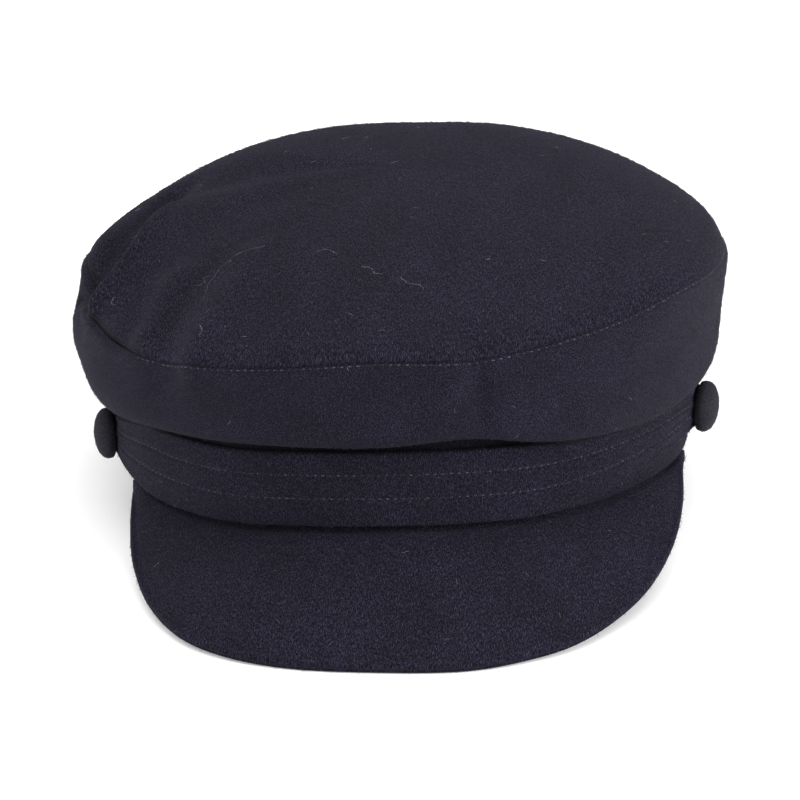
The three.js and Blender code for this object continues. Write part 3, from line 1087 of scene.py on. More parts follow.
@dataclass
class Crown:
    """The soft crown: a domed top panel, a bulging side panel and the seam between them.

    Attributes:
        form: The shape of the crown.
        columns: Steps round the crown.
        top_rows: Rows of the top panel between the summit and its rolled edge.
        roll_rows: Rows of that edge.
        side_rows: Rows of the side panel below the topstitching.
        seam_rows: Rows of the side panel above it.
        inner_rows: Rows of the inner faces.
        combed: Share of its true length that the top's cloth map gives front to back, which
            draws the nap out that way.
    """

    form: CrownForm
    columns: int = 720
    top_rows: int = 76
    roll_rows: int = 10
    side_rows: int = 46
    seam_rows: int = 14
    inner_rows: int = 16
    combed: float = 0.72

    def top_panel(self, material: bpy.types.Material) -> bpy.types.Object:
        """Builds the top panel: a disc of cloth laid over the dome, its edge turned into the seam.

        Args:
            material: Its material.

        Returns:
            The panel.
        """
        start = 1 - self.form.roll / self.form.radius
        reaches = [
            *np.linspace(0.0, start, self.top_rows, endpoint=False),
            *np.linspace(start, 1.0, self.roll_rows),
        ]
        face = [(reach, 0.0) for reach in reaches]
        rim = [(1.0, -layer) for layer in (0.33, 0.67)]
        under = [(reach, -1.0) for reach in np.linspace(1.0, 0.0, self.inner_rows)]
        disc = spun(face + rim + under, self.columns)

        def place(data: bpy.types.Mesh) -> Array:
            """Lays the disc over the dome.

            Args:
                data: Mesh of the pattern.

            Returns:
                The place of each vertex.
            """
            angle, reach, height = pattern_of(data)
            layer = -height[:, None]
            # painted shade along the crease lines and the left seam; fibres are left out where it is
            # deep
            kept = self.form.kept(angle, reach)
            crush(data, kept)
            show(data, (height > -0.1) & (kept > STANDING))
            flat = flat_place(angle, reach) * self.form.radius
            lay_flat(data, flat[:, 0], flat[:, 1] * self.combed)
            outer, inner = self.form.top_face(angle, reach), self.form.top_under(angle, reach)
            return outer + (inner - outer) * layer

        return finished("crown_top_panel", disc, place, material, Slot.WOOL, ["crown_top"])

    def side_panel(self, material: bpy.types.Material) -> bpy.types.Object:
        """Builds the side panel: a ring of cloth from the seam down over the lip to the band.

        Args:
            material: Its material.

        Returns:
            The panel.
        """
        seam_zone = 0.08
        downs = [
            *np.linspace(0.0, seam_zone, self.seam_rows, endpoint=False),
            *np.linspace(seam_zone, 1.0, self.side_rows),
        ]
        outer = [(1 + down, 0.0) for down in downs]
        inner = [(1 + down, -1.0) for down in np.linspace(1.0, 0.0, self.inner_rows)]
        ring = spun(outer + inner, self.columns, closed=True)

        def place(data: bpy.types.Mesh) -> Array:
            """Hangs the ring between the seam and the band.

            Args:
                data: Mesh of the pattern.

            Returns:
                The place of each vertex.
            """
            angle, radius, height = pattern_of(data)
            down, layer = radius - 1, -height
            flat = down * self.form.side_cloth
            # painted shade on the underside below the lip and along the creases
            shade = (1 - self.form.gap_light) * smoothstep(down, *self.form.underside)
            kept = self.form.kept(angle, 1 + flat / self.form.radius) * (1 - shade)
            crush(data, kept)
            show(data, (layer < 0.1) & (kept > STANDING))
            points = self.form.side_point(angle, down, layer)
            girth = math.radians(1) * self.form.radius
            lay_flat(data, angle * girth, flat, wrap=TURN * girth)
            return points

        return finished("crown_side_panel", ring, place, material, Slot.WOOL, ["crown_side"])


@dataclass
class Headband:
    """The upright band round the head, its edges turned and rounded.

    Attributes:
        form: The shape of the crown above it.
        columns: Steps round the band.
        rows: Rows up each face.
    """

    form: CrownForm
    columns: int = 240
    rows: int = 10

    def build(self, material: bpy.types.Material) -> bpy.types.Object:
        """Builds the band.

        Args:
            material: Its material.

        Returns:
            The band.
        """
        half_wall = self.form.band_wall / 2
        ring = spun(slab(self.rows, 5), self.columns, closed=True)

        def place(data: bpy.types.Mesh) -> Array:
            """Stands the band on its rim.

            Args:
                data: Mesh of the pattern.

            Returns:
                The place of each vertex.
            """
            angle, across, up = slab_place(data)
            half_height = self.form.band_height / 2
            girth = math.radians(1) * self.form.oval.half_length
            out = -half_wall + half_wall * across
            height = self.form.rim(angle) + half_height + stadium(up, half_height, half_wall)
            # painted shade in the gap under the lip, darkest right below it
            kept = self.form.lit(angle, out, height)
            crush(data, kept)
            show(data, (across > 0.5) & (kept > STANDING))
            lay_flat(data, angle * girth, height + 0.05 * (across < 0), wrap=TURN * girth)
            return self.form.oval.place(angle, out, height)

        return finished("headband_cloth", ring, place, material, Slot.WOOL, ["headband"])


SLAB_ROUND = 0.25  # share of a slab pattern's height that each rounded edge takes


def slab(rows: int, corner: int) -> list[tuple[float, float]]:
    """Pattern of a flat strip's section: two straight faces joined by two rounded edges.

    Args:
        rows: Rows on each face.
        corner: Steps round each edge.

    Returns:
        A closed loop of points, 1 to 1.2 from the axis, with heights from -1 to 1.
    """
    middle, half = 1.1, 0.1
    straight = 1 - SLAB_ROUND
    loop = [(middle + half, h) for h in np.linspace(-straight, straight, rows)]
    for turn in np.linspace(0, math.pi, corner + 2)[1:-1]:
        loop.append((middle + half * math.cos(turn), straight + SLAB_ROUND * math.sin(turn)))
    loop += [(middle - half, h) for h in np.linspace(straight, -straight, rows)]
    for turn in np.linspace(math.pi, 2 * math.pi, corner + 2)[1:-1]:
        loop.append((middle + half * math.cos(turn), -straight + SLAB_ROUND * math.sin(turn)))
    return loop


def slab_place(data: bpy.types.Mesh) -> tuple[Array, Array, Array]:
    """Angle, place across the wall (-1 inside, 1 outside) and height (-1 to 1) on a slab pattern."""
    angle, radius, height = pattern_of(data)
    return angle, (radius - 1.1) / 0.1, height


def stadium(up: Array, half_height: Array, rounding: float) -> Array:
    """Heights of a slab pattern's points on a strip whose edges are rounded by a given radius.

    Args:
        up: Heights on the pattern, from -1 to 1.
        half_height: Half the strip's height.
        rounding: Radius of its edges.

    Returns:
        Heights above the strip's middle.
    """
    straight = 1 - SLAB_ROUND
    face = np.clip(up, -straight, straight) / straight * (half_height - rounding)
    edge = (np.abs(up) - straight).clip(0.0) / SLAB_ROUND * rounding
    return face + np.sign(up) * edge


@dataclass
class Peak:
    """The stiff curved peak, covered with cloth on both faces and seamed round its edge.

    Attributes:
        form: The shape of the crown, which gives the rim that it hangs from.
        reach: Level reach past the band.
        wall: Thickness with both cloths.
        bow: Rise of its face above a straight slope.
        rounding: Radius of its edge.
        seam_depth: Depth of the seam in its edge.
        root: Dip of its face along the band.
        end: Angle over which its wall thins out to each end, in degrees.
        end_wall: Thickness left at its ends, share of wall.
        columns: Steps round it.
        rows: Rows across it.
    """

    form: CrownForm
    reach: float = 41.3 * MM
    wall: float = 3.6 * MM
    bow: float = 2.2 * MM
    rounding: float = 1.75 * MM
    seam_depth: float = 0.45 * MM
    root: float = 1.0 * MM
    end: float = 9.0
    end_wall: float = 0.2
    columns: int = 200
    rows: int = 30

    # out: reach of its edge past the band, share of reach
    # lift: height of that edge, share of the rim's
    ROWS = Table(
        ("at", "out", "lift"),
        (
            (-66, 0.0, 0.8),
            (-59, 0.12, 0.6),
            (-52, 0.28, 0.46),
            (-43, 0.53, 0.25),
            (-35, 0.76, 0.12),
            (-27, 0.955, 0.05),
            (-20, 1.03, 0.02),
            (-12, 1.03, 0.0),
            (0, 0.99, 0.0),
            (12, 1.0, 0.0),
            (20, 0.96, 0.02),
            (27, 0.9, 0.05),
            (35, 0.77, 0.12),
            (43, 0.64, 0.25),
            (52, 0.47, 0.46),
            (62, 0.26, 0.66),
            (73, 0.07, 0.84),
            (82, 0.01, 0.88),
        ),
    )

    def section(self, angle: Array, share: Array, layer: Array) -> tuple[Array, Array]:
        """Reach and height of points in the peak's section.

        Args:
            angle: Angles in degrees.
            share: From -1, tucked under the band, over 0, at its face, to 1, at the edge.
            layer: 0 on the upper face, 1 on the lower one.

        Returns:
            The reaches past the band and the heights.
        """
        seat = self.form.rim(angle) - GAP
        first, last = self.ROWS.column("at")[[0, -1]]
        inwards = smoothstep(np.minimum(angle - first, last - angle), 0.0, self.end)
        wall = self.wall * (self.end_wall + (1 - self.end_wall) * inwards)
        edge_out = np.maximum(self.reach * self.ROWS.open_value("out", angle), 0.1 * MM)
        lift = np.maximum(0.0, seat * self.ROWS.open_value("lift", angle))
        edge_top = np.minimum(lift + wall, seat)
        bow = self.bow * edge_out / self.reach
        rounding = np.minimum(self.rounding, np.minimum(edge_out, 0.97 * wall) / 2)
        s = np.clip(share, 0.0, 1.0)
        root = self.root * edge_out / self.reach * bell(s, 0.05) * (share > -0.25)
        face = seat + (edge_top - seat) * s + bow * 4 * s * (1 - s) - root
        under = np.maximum(face - wall, 0.0)
        under = np.where(share < 0, seat - wall, under)
        from_corner = np.clip((np.abs(layer - 0.5) * wall - (wall / 2 - rounding)) / rounding, 0, 1)
        inset = rounding * (1 - np.sqrt(np.maximum(1 - from_corner**2, 0.0)))
        seam = self.seam_depth * bell((layer - 0.66) * wall, 0.35 * MM)
        out = (edge_out - rounding) * s
        out = np.where(share >= 1 - 1e-5, edge_out - inset - seam, out)
        out = np.where(share < 0, self.form.band_wall * share, out)
        return out, face + (under - face) * layer

    def build(self, material: bpy.types.Material) -> bpy.types.Object:
        """Builds the peak.

        Args:
            material: Its material.

        Returns:
            The peak.
        """
        faces = [-1.0, -0.5, *np.linspace(0.0, 1.0, self.rows)]
        top = [(3 + share, 0.0) for share in faces]
        edge = [(4.0, -layer) for layer in np.linspace(0.0, 1.0, 16)[1:-1]]
        under = [(3 + share, -1.0) for share in reversed(faces)]
        start, end = self.ROWS.column("at")[[0, -1]]
        shell = spun(top + edge + under, self.columns, start, end - start, closed=True)

        def place(data: bpy.types.Mesh) -> Array:
            """Bends the peak round the band's rim.

            Args:
                data: Mesh of the pattern.

            Returns:
                The place of each vertex.
            """
            angle, radius, height = pattern_of(data)
            show(data, (radius > 3.0) & (height > -0.9))
            out, up = self.section(angle, radius - 3, -height)
            points = self.form.oval.place(angle, out, up)
            lay_flat(data, points[:, 0], points[:, 1] + 0.3 * (height < -0.5))
            return points

        return finished("peak_cloth", shell, place, material, Slot.WOOL, ["peak"])


@dataclass
class Strap:
    """The flat strap across the front, gathered under a button at each end.

    Attributes:
        form: The shape of the crown, which gives the rim.
        width: Its width in front.
        wall: Its thickness.
        lift: Its lower edge above the rim.
        tail: Its length past the middle of each button.
        gathered_width: Its width under the buttons.
        pleat: Depth of the pleats at its ends.
        rows_at: Heights of its two rows of stitches, share of its width.
        columns: Steps along it.
        rows: Rows up each face.
    """

    form: CrownForm
    width: float = 24 * MM
    wall: float = 2 * MM
    lift: float = 1 * MM
    tail: float = 3 * MM
    gathered_width: float = 13 * MM
    pleat: float = 0.22 * MM
    rows_at: tuple[float, float] = (0.385, 0.7)
    columns: int = 220
    rows: int = 40

    # Degrees from the front, rise above the strap's middle line, stand-off from the band, and
    # degrees over which the strap narrows, rises and stands off
    BUTTONS = {
        Side.LEFT: (-75.0, -1.76 * MM, 0.0, 24.0),
        Side.RIGHT: (76.0, 5.5 * MM, 3.2 * MM, 50.0),
    }

    def nearer(self, angle: Array, column: int) -> Array:
        """One value of the button on the same side as each angle."""
        left, right = (self.BUTTONS[side][column] for side in (Side.LEFT, Side.RIGHT))
        return np.where(angle < 0, left, right)

    def gathered(self, angle: Array) -> Array:
        """How far the strap is gathered, from 0 in front to 1 at its buttons."""
        rest = np.abs(self.nearer(angle, 0)) - np.abs(angle)
        return 1 - smoothstep(rest / self.nearer(angle, 3), 0.0, 1.0)

    def middle(self, angle: Array) -> Array:
        """Height of the strap's middle line, which runs up or down to its buttons."""
        rise = self.nearer(angle, 1) * self.gathered(angle)
        return self.form.rim(angle) + self.lift + self.width / 2 + rise

    def back(self, angle: Array) -> Array:
        """Reach of the strap's inner face, which stands off the band near a button."""
        return GAP + self.nearer(angle, 2) * self.gathered(angle)

    def half_width(self, angle: Array) -> Array:
        """Half the width of the strap."""
        return (self.width + (self.gathered_width - self.width) * self.gathered(angle)) / 2

    def face(self, angle: Array, across: Array) -> Array:
        """Reach of the strap's outer face, pulled in along its stitches and pleated at its ends.

        Args:
            angle: Angles in degrees.
            across: Shares of the strap's width, from its lower edge.

        Returns:
            The reaches past the band.
        """
        pulled = sum(bell((across - at) * self.width, 0.7 * MM) for at in self.rows_at)
        puffed = 0.35 * MM * np.sin(math.pi * np.clip(across, 0, 1))
        pleats = self.pleat * self.gathered(angle) * np.cos(across * 6 * math.pi)
        return self.back(angle) + self.wall + puffed - 0.32 * MM * pulled + pleats

    def build(self, material: bpy.types.Material) -> bpy.types.Object:
        """Builds the strap.

        Args:
            material: Its material.

        Returns:
            The strap.
        """
        tail = math.degrees(self.tail / self.form.oval.half_length)
        start = self.BUTTONS[Side.LEFT][0] - tail
        end = self.BUTTONS[Side.RIGHT][0] + tail
        strip = spun(slab(self.rows, 5), self.columns, start, end - start, closed=True)

        def place(data: bpy.types.Mesh) -> Array:
            """Lays the strap on the band.

            Args:
                data: Mesh of the pattern.

            Returns:
                The place of each vertex.
            """
            angle, layer, up = slab_place(data)
            rise = stadium(up, self.half_width(angle), self.wall / 2)
            across = 0.5 + rise / (2 * self.half_width(angle))
            inner, outer = self.back(angle), self.face(angle, across)
            out = inner + (outer - inner) * (layer + 1) / 2
            height = self.middle(angle) + rise
            # painted shade where the strap runs under the lip
            kept = self.form.lit(angle, out, height)
            crush(data, kept)
            show(data, (layer > 0.2) & (kept > STANDING))
            girth = math.radians(1) * self.form.oval.half_length
            lay_flat(data, angle * girth, height + 0.05 * (layer < 0))
            return self.form.oval.place(angle, out, height)

        return finished("strap_cloth", strip, place, material, Slot.WOOL, ["strap"])


@dataclass
class Button:
    """A cloth-covered button: domed, rounded at its edge and puckered at its back.

    Attributes:
        side: The side of the cap that it sits on.
        strap: The strap that it holds.
        width: Its diameter.
        thickness: Its thickness.
        steps: Steps round it.
    """

    side: Side
    strap: Strap
    width: float = 16 * MM
    thickness: float = 6.4 * MM
    steps: int = 72

    # Share of the radius and of the thickness
    PROFILE = (
        (0.0, 0.0), (0.45, 0.0), (0.8, 0.01), (0.9, 0.05), (0.965, 0.13), (0.995, 0.25), (1.0, 0.36),
        (0.985, 0.46), (0.95, 0.56), (0.88, 0.67), (0.78, 0.765), (0.65, 0.85), (0.5, 0.915),
        (0.34, 0.96), (0.17, 0.99), (0.0, 1.0),
    )

    def build(self, material: bpy.types.Material) -> bpy.types.Object:
        """Builds the button.

        Args:
            material: Its material.

        Returns:
            The button.
        """
        knob = spun(self.PROFILE, self.steps)
        angle = np.array([self.strap.BUTTONS[self.side][0]])
        form = self.strap.form
        reach = self.strap.back(angle) + self.strap.wall
        base = form.oval.place(angle, reach, self.strap.middle(angle))[0]
        out = form.oval.outward(angle)[0]
        base = base + out * GAP
        level = np.array([-out[1], out[0], 0.0])
        up = np.array([0.0, 0.0, 1.0])

        def place(data: bpy.types.Mesh) -> Array:
            """Sets the button on the end of the strap.

            Args:
                data: Mesh of the pattern.

            Returns:
                The place of each vertex.
            """
            turn, radius, height = pattern_of(data)
            show(data, height > 0.1)
            pucker = 1 - 0.025 * (1 + np.sin(np.radians(turn * 18))) * bell(height - 0.1, 0.16) * radius
            across = radius * self.width / 2 * pucker
            u, v = across * np.sin(np.radians(turn)), across * np.cos(np.radians(turn))
            lay_flat(data, u * 1.2, v * 1.2 + 0.1 * (height < 0.3))
            lift = height * self.thickness
            return base + u[:, None] * level + v[:, None] * up + lift[:, None] * out

        node = f"button_{self.side.name.lower()}"
        return finished(f"{node}_cloth", knob, place, material, Slot.BUTTON, [node])


@dataclass(frozen=True)
class Template:
    """A small closed body that is repeated along lines, as arrays.

    Attributes:
        points: Its vertices.
        triangles: Its faces.
    """

    points: Array
    triangles: Array

    @classmethod
    def of(cls, mesh: bmesh.types.BMesh) -> Template:
        """Takes a body over from a bmesh, which is freed.

        Args:
            mesh: The body.

        Returns:
            Its template.
        """
        bmesh.ops.triangulate(mesh, faces=mesh.faces)
        mesh.verts.index_update()
        points = np.array([v.co[:] for v in mesh.verts])
        triangles = np.array([[v.index for v in f.verts] for f in mesh.faces])
        mesh.free()
        return cls(points, triangles)

    def repeated(self, name: str, origins: Array, axes: Array, bend: Array | None = None
                 ) -> bpy.types.Mesh:
        """One mesh with a copy of the body at each place.

        Args:
            name: Name of the mesh.
            origins: Places of the copies.
            axes: For each copy, its three directions as rows, scaled to its size.
            bend: For each copy, how far its tip is moved, with the square of the height, or None.

        Returns:
            The joined mesh.
        """
        points = np.einsum("pi,cij->cpj", self.points, axes) + origins[:, None, :]
        if bend is not None:
            points += (self.points[:, 2] ** 2)[None, :, None] * bend[:, None, :]
        return self.mesh(name, points)

    def mesh(self, name: str, points: Array) -> bpy.types.Mesh:
        """One mesh of copies of the body whose vertices are already placed.

        Args:
            name: Name of the mesh.
            points: For each copy, the places of all its vertices.

        Returns:
            The joined mesh.
        """
        shift = np.arange(len(points))[:, None, None] * len(self.points)
        corners = (self.triangles[None] + shift).reshape(-1, 3)
        data = bpy.data.meshes.new(name)
        data.vertices.add(len(points) * len(self.points))
        data.vertices.foreach_set("co", points.astype(np.float32).ravel())
        data.loops.add(corners.size)
        data.loops.foreach_set("vertex_index", corners.astype(np.int32).ravel())
        data.polygons.add(len(corners))
        data.polygons.foreach_set("loop_start", np.arange(0, corners.size, 3, dtype=np.int32))
        data.update(calc_edges=True)
        data.polygons.foreach_set("use_smooth", np.ones(len(data.polygons), bool))
        return data


def joined(name: str, data: bpy.types.Mesh, material: bpy.types.Material,
           slot: Slot) -> bpy.types.Object:
    """Puts a joined mesh on the cap as a piece of its own.

    Args:
        name: Name of the piece.
        data: The mesh.
        material: Its material.
        slot: Its slot in the record; not used.

    Returns:
        The piece.
    """
    data.materials.append(material)
    piece = bpy.data.objects.new(name, data)
    bpy.context.scene.collection.objects.link(piece)
    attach(piece, ROOT)
    LOG.info("%s: %d faces", name, len(data.polygons))
    return piece


@dataclass
class Topstitching:
    """Rows of machine stitches, each stitch a short bulge of thread sunk in the cloth.

    Attributes:
        pitch: Distance from stitch to stitch.
        length: Length of a stitch.
        thickness: Thickness of the thread.
        sink: Depth of a stitch's middle below the cloth around it.
        hole: Width of the painted shade body for the hole that the needle leaves between two stitches.
    """

    # Angles where the crown's row starts and ends; the fold at its left rear hides the rest
    CROWN_ROW = (-51.0, 240.0)

    pitch: float = 2.4 * MM
    length: float = 1.15 * MM
    thickness: float = 0.45 * MM
    sink: float = 0.07 * MM
    hole: float = 0.42 * MM

    def row(self, name: str, path: Callable[[Array], Array], start: float, end: float,
            material: bpy.types.Material, shadow: bpy.types.Material) -> None:
        """Sews one row.

        Args:
            name: Name of the row.
            path: Gives points of the cloth at angles in degrees.
            start: Angle where the row starts.
            end: Angle where it ends.
            material: The thread.
            shadow: Painted shade for the dark inside of the needle holes.
        """
        angles = np.linspace(start, end, 2400)
        line = path(angles)
        walked = np.concatenate([[0.0], np.cumsum(np.linalg.norm(np.diff(line, axis=0), axis=1))])
        count = int(walked[-1] / self.pitch)
        step = walked[-1] / count
        at = (np.arange(count) + 0.5) * step
        bead = bmesh.new()
        bmesh.ops.create_uvsphere(bead, u_segments=8, v_segments=6, radius=1.0)
        stitch = Template.of(bead)

        def laid(at: Array, size: Sequence[float]) -> tuple[Array, Array]:
            """Places along the row, sunk into the cloth, and axes of bodies of a size there.

            Args:
                at: Distances along the row.
                size: Length along the row, width across it and height of the bodies.

            Returns:
                The places and, for each, three scaled directions as rows.
            """
            behind, middle, ahead = (
                np.stack([np.interp(at + shift, walked, line[:, k]) for k in range(3)], axis=-1)
                for shift in (-self.length / 2, 0.0, self.length / 2)
            )
            along = ahead - behind
            along /= np.linalg.norm(along, axis=1, keepdims=True)
            out = middle - np.array([*np.mean(line[:, :2], axis=0), 0.0])
            out[:, 2] = 0.0
            out -= along * (out * along).sum(1, keepdims=True)
            out /= np.linalg.norm(out, axis=1, keepdims=True)
            axes = np.stack([along, np.cross(along, out), out], axis=1)
            return middle - out * self.sink, axes * (np.array(size) / 2)[None, :, None]

        thick = self.thickness
        data = stitch.repeated(name, *laid(at, (self.length, thick, thick)))
        joined(name, data, material, Slot.THREAD)
        # dark bodies between the stitches, painted shade for the needle holes
        holes = laid(at + step / 2, (self.hole * 1.3, self.hole, thick * 0.8))
        joined(name + "_holes", stitch.repeated(name + "_holes", *holes), shadow, Slot.THREAD)


@dataclass
class Nap:
    """Wool fibres that stand off a piece's cloth, combed one way and a little unruly.

    Attributes:
        spacing: Mean distance between fibres.
        shortest: Shortest fibre.
        longest: Longest fibre.
        width: Width of a fibre at its root.
        unruly: Spread of their directions in the cloth, in degrees.
        lean: Lowest and highest angle above the cloth, in degrees.
        comb: Direction in which they are combed, before it is laid on the cloth.
    """

    spacing: float = 1.4 * MM
    shortest: float = 0.8 * MM
    longest: float = 2.1 * MM
    width: float = 0.1 * MM
    unruly: float = 60.0
    lean: tuple[float, float] = (4.0, 38.0)
    comb: tuple[float, float, float] = (0.0, 0.0, -1.0)

    @staticmethod
    def fibre() -> Template:
        """One fibre: a three-sided spike of unit length with a joint in its middle.

        Returns:
            Its template.
        """
        spike = bmesh.new()
        bmesh.ops.create_cone(
            spike, cap_ends=True, segments=3, radius1=0.5, radius2=0.0, depth=1.0,
            matrix=Matrix.Translation((0, 0, 0.5)),
        )
        geometry = spike.verts[:] + spike.edges[:] + spike.faces[:]
        bmesh.ops.bisect_plane(spike, geom=geometry, plane_co=(0, 0, 0.5), plane_no=(0, 0, 1))
        for vert in spike.verts:
            if 0.4 < vert.co.z < 0.6:
                vert.co.xy *= 1.7
        return Template.of(spike)

    def grow(self, piece: bpy.types.Object, material: bpy.types.Material, slot: Slot,
             seed: int, suffix: str = "_nap") -> bpy.types.Object:
        """Covers the outer face of a piece with fibres.

        Args:
            piece: The piece.
            material: Material of the fibres.
            slot: Slot of the fibres.
            seed: Seed of their places.
            suffix: What is added to the piece's name to name them.

        Returns:
            The fibres as one piece.
        """
        chance = np.random.default_rng(seed)
        corners, normals, areas = shown_faces(piece.data)
        count = int(areas.sum() / self.spacing**2)
        pick = chance.choice(len(areas), count, p=areas / areas.sum())
        first, second = np.sort(chance.random((2, count)), axis=0)
        shares = np.stack([first, second - first, 1 - second], axis=-1)
        roots = np.einsum("nc,nck->nk", shares, corners[pick])
        normal = normals[pick]
        lay = np.array(self.comb) - normal * (normal @ np.array(self.comb))[:, None]
        lay /= np.maximum(np.linalg.norm(lay, axis=1, keepdims=True), 1e-9)
        turn = np.radians(chance.normal(0.0, self.unruly, count))[:, None]
        lay = lay * np.cos(turn) + np.cross(normal, lay) * np.sin(turn)
        lean = np.radians(chance.uniform(*self.lean, count))[:, None]
        along = lay * np.cos(lean) + normal * np.sin(lean)
        side = np.cross(normal, along)
        side /= np.linalg.norm(side, axis=1, keepdims=True)
        length = chance.uniform(self.shortest, self.longest, count)[:, None]
        width = self.width * chance.uniform(0.6, 1.3, count)[:, None]
        axes = np.stack([side * width, np.cross(along, side) * width, along * length], axis=1)
        curl = side * chance.normal(0.0, 0.35, count)[:, None] - normal * np.sin(lean) * 0.4
        name = piece.name + suffix
        data = self.fibre().repeated(name, roots, axes, curl * length)
        return joined(name, data, material, slot)


@dataclass
class Lint:
    """Pale hairs caught on the crown, each along a line on the top panel.

    Attributes:
        form: The shape of the crown.
        width: Thickness of a hair.
        height: Height of a hair above the cloth.
        pieces: Straight pieces of each hair.
        crook: How far a hair strays from its line.
    """

    form: CrownForm
    width: float = 0.075 * MM
    height: float = 0.25 * MM
    pieces: int = 32
    crook: float = 0.22 * MM

    # Each hair runs through angles in degrees and shares of the way from the summit to the seam
    HAIRS = (
        (
            (-45, 0.82), (-48.5, 0.76), (-50, 0.72), (-50.5, 0.68),
            (-49, 0.64), (-46.5, 0.61), (-45, 0.58),
        ),
        ((-52, 0.765), (-51.2, 0.75), (-52.6, 0.74), (-51.6, 0.73)),
        ((-26, 0.56), (-24, 0.545), (-21, 0.55), (-19, 0.56)),
        ((-9, 0.62), (-6, 0.63), (-5, 0.65), (-3, 0.655)),
        ((2, 0.67), (4, 0.7), (7, 0.71), (8, 0.73)),
        ((-69, 0.93), (-68, 0.945), (-66.6, 0.94)),
        ((-38.5, 0.905), (-37, 0.92), (-36.5, 0.94)),
    )

    def tube(self) -> Template:
        """A thin four-sided tube of unit length, cut into straight pieces.

        Returns:
            Its template.
        """
        tube = bmesh.new()
        bmesh.ops.create_cone(
            tube, cap_ends=True, segments=4, radius1=0.5, radius2=0.5, depth=1.0,
            matrix=Matrix.Translation((0, 0, 0.5)),
        )
        sides = [edge for edge in tube.edges if abs(edge.verts[0].co.z - edge.verts[1].co.z) > 0.5]
        bmesh.ops.subdivide_edges(tube, edges=sides, cuts=self.pieces - 1)
        return Template.of(tube)

    def path(self, hair: Sequence[tuple[float, float]]) -> Array:
        """Points along a hair, one at the end of each of its straight pieces.

        Args:
            hair: Angles and shares of the way from the summit to the seam that it runs through.

        Returns:
            One point in each row.
        """
        angle, reach = centripetal(np.array([hair], float), self.pieces + 1)[0].T
        points = self.form.top_face(angle, reach)
        points[:, 2] += self.height
        step = np.arange(len(points))
        stray = np.sin(step * 0.9 + hair[0][0]) + 0.6 * np.sin(step * 2.3 + hair[0][0])
        points[:, 0] += self.crook * stray
        points[:, 1] += self.crook * np.roll(stray, 2)
        return points

    def scatter(self, material: bpy.types.Material) -> bpy.types.Object:
        """Lays the hairs down as one piece.

        Args:
            material: Its material.

        Returns:
            The piece.
        """
        tube = self.tube()
        ring = np.rint(tube.points[:, 2] * self.pieces).astype(int)
        laid = []
        for hair in self.HAIRS:
            path = self.path(hair)
            along = np.gradient(path, axis=0)
            side = np.cross(along, (0.0, 0.0, 1.0))
            side /= np.linalg.norm(side, axis=1, keepdims=True)
            across, up = tube.points[:, :2].T * self.width
            laid.append(path[ring] + side[ring] * across[:, None] + np.outer(up, (0.0, 0.0, 1.0)))
        return joined("pale_hairs", tube.mesh("pale_hairs", np.array(laid)), material, Slot.WOOL)


def shown_faces(data: bpy.types.Mesh) -> tuple[Array, Array, Array]:
    """Triangles of a piece's outer face.

    Args:
        data: Mesh of the piece.

    Returns:
        Their corners, normals and areas.
    """
    data.calc_loop_triangles()
    count = len(data.loop_triangles)
    corner = np.empty(count * 3, np.int32)
    data.loop_triangles.foreach_get("vertices", corner)
    corner = corner.reshape(-1, 3)
    co = np.empty(len(data.vertices) * 3, np.float32)
    data.vertices.foreach_get("co", co)
    co = co.reshape(-1, 3).astype(float)
    shown = np.empty(len(data.vertices), np.float32)
    data.attributes[SHOWN].data.foreach_get("value", shown)
    corner = corner[shown[corner].mean(axis=1) > 0.9]
    triangles = co[corner]
    cross = np.cross(triangles[:, 1] - triangles[:, 0], triangles[:, 2] - triangles[:, 0])
    size = np.linalg.norm(cross, axis=1)
    keep = size > 1e-14
    return triangles[keep], cross[keep] / size[keep, None], size[keep] / 2


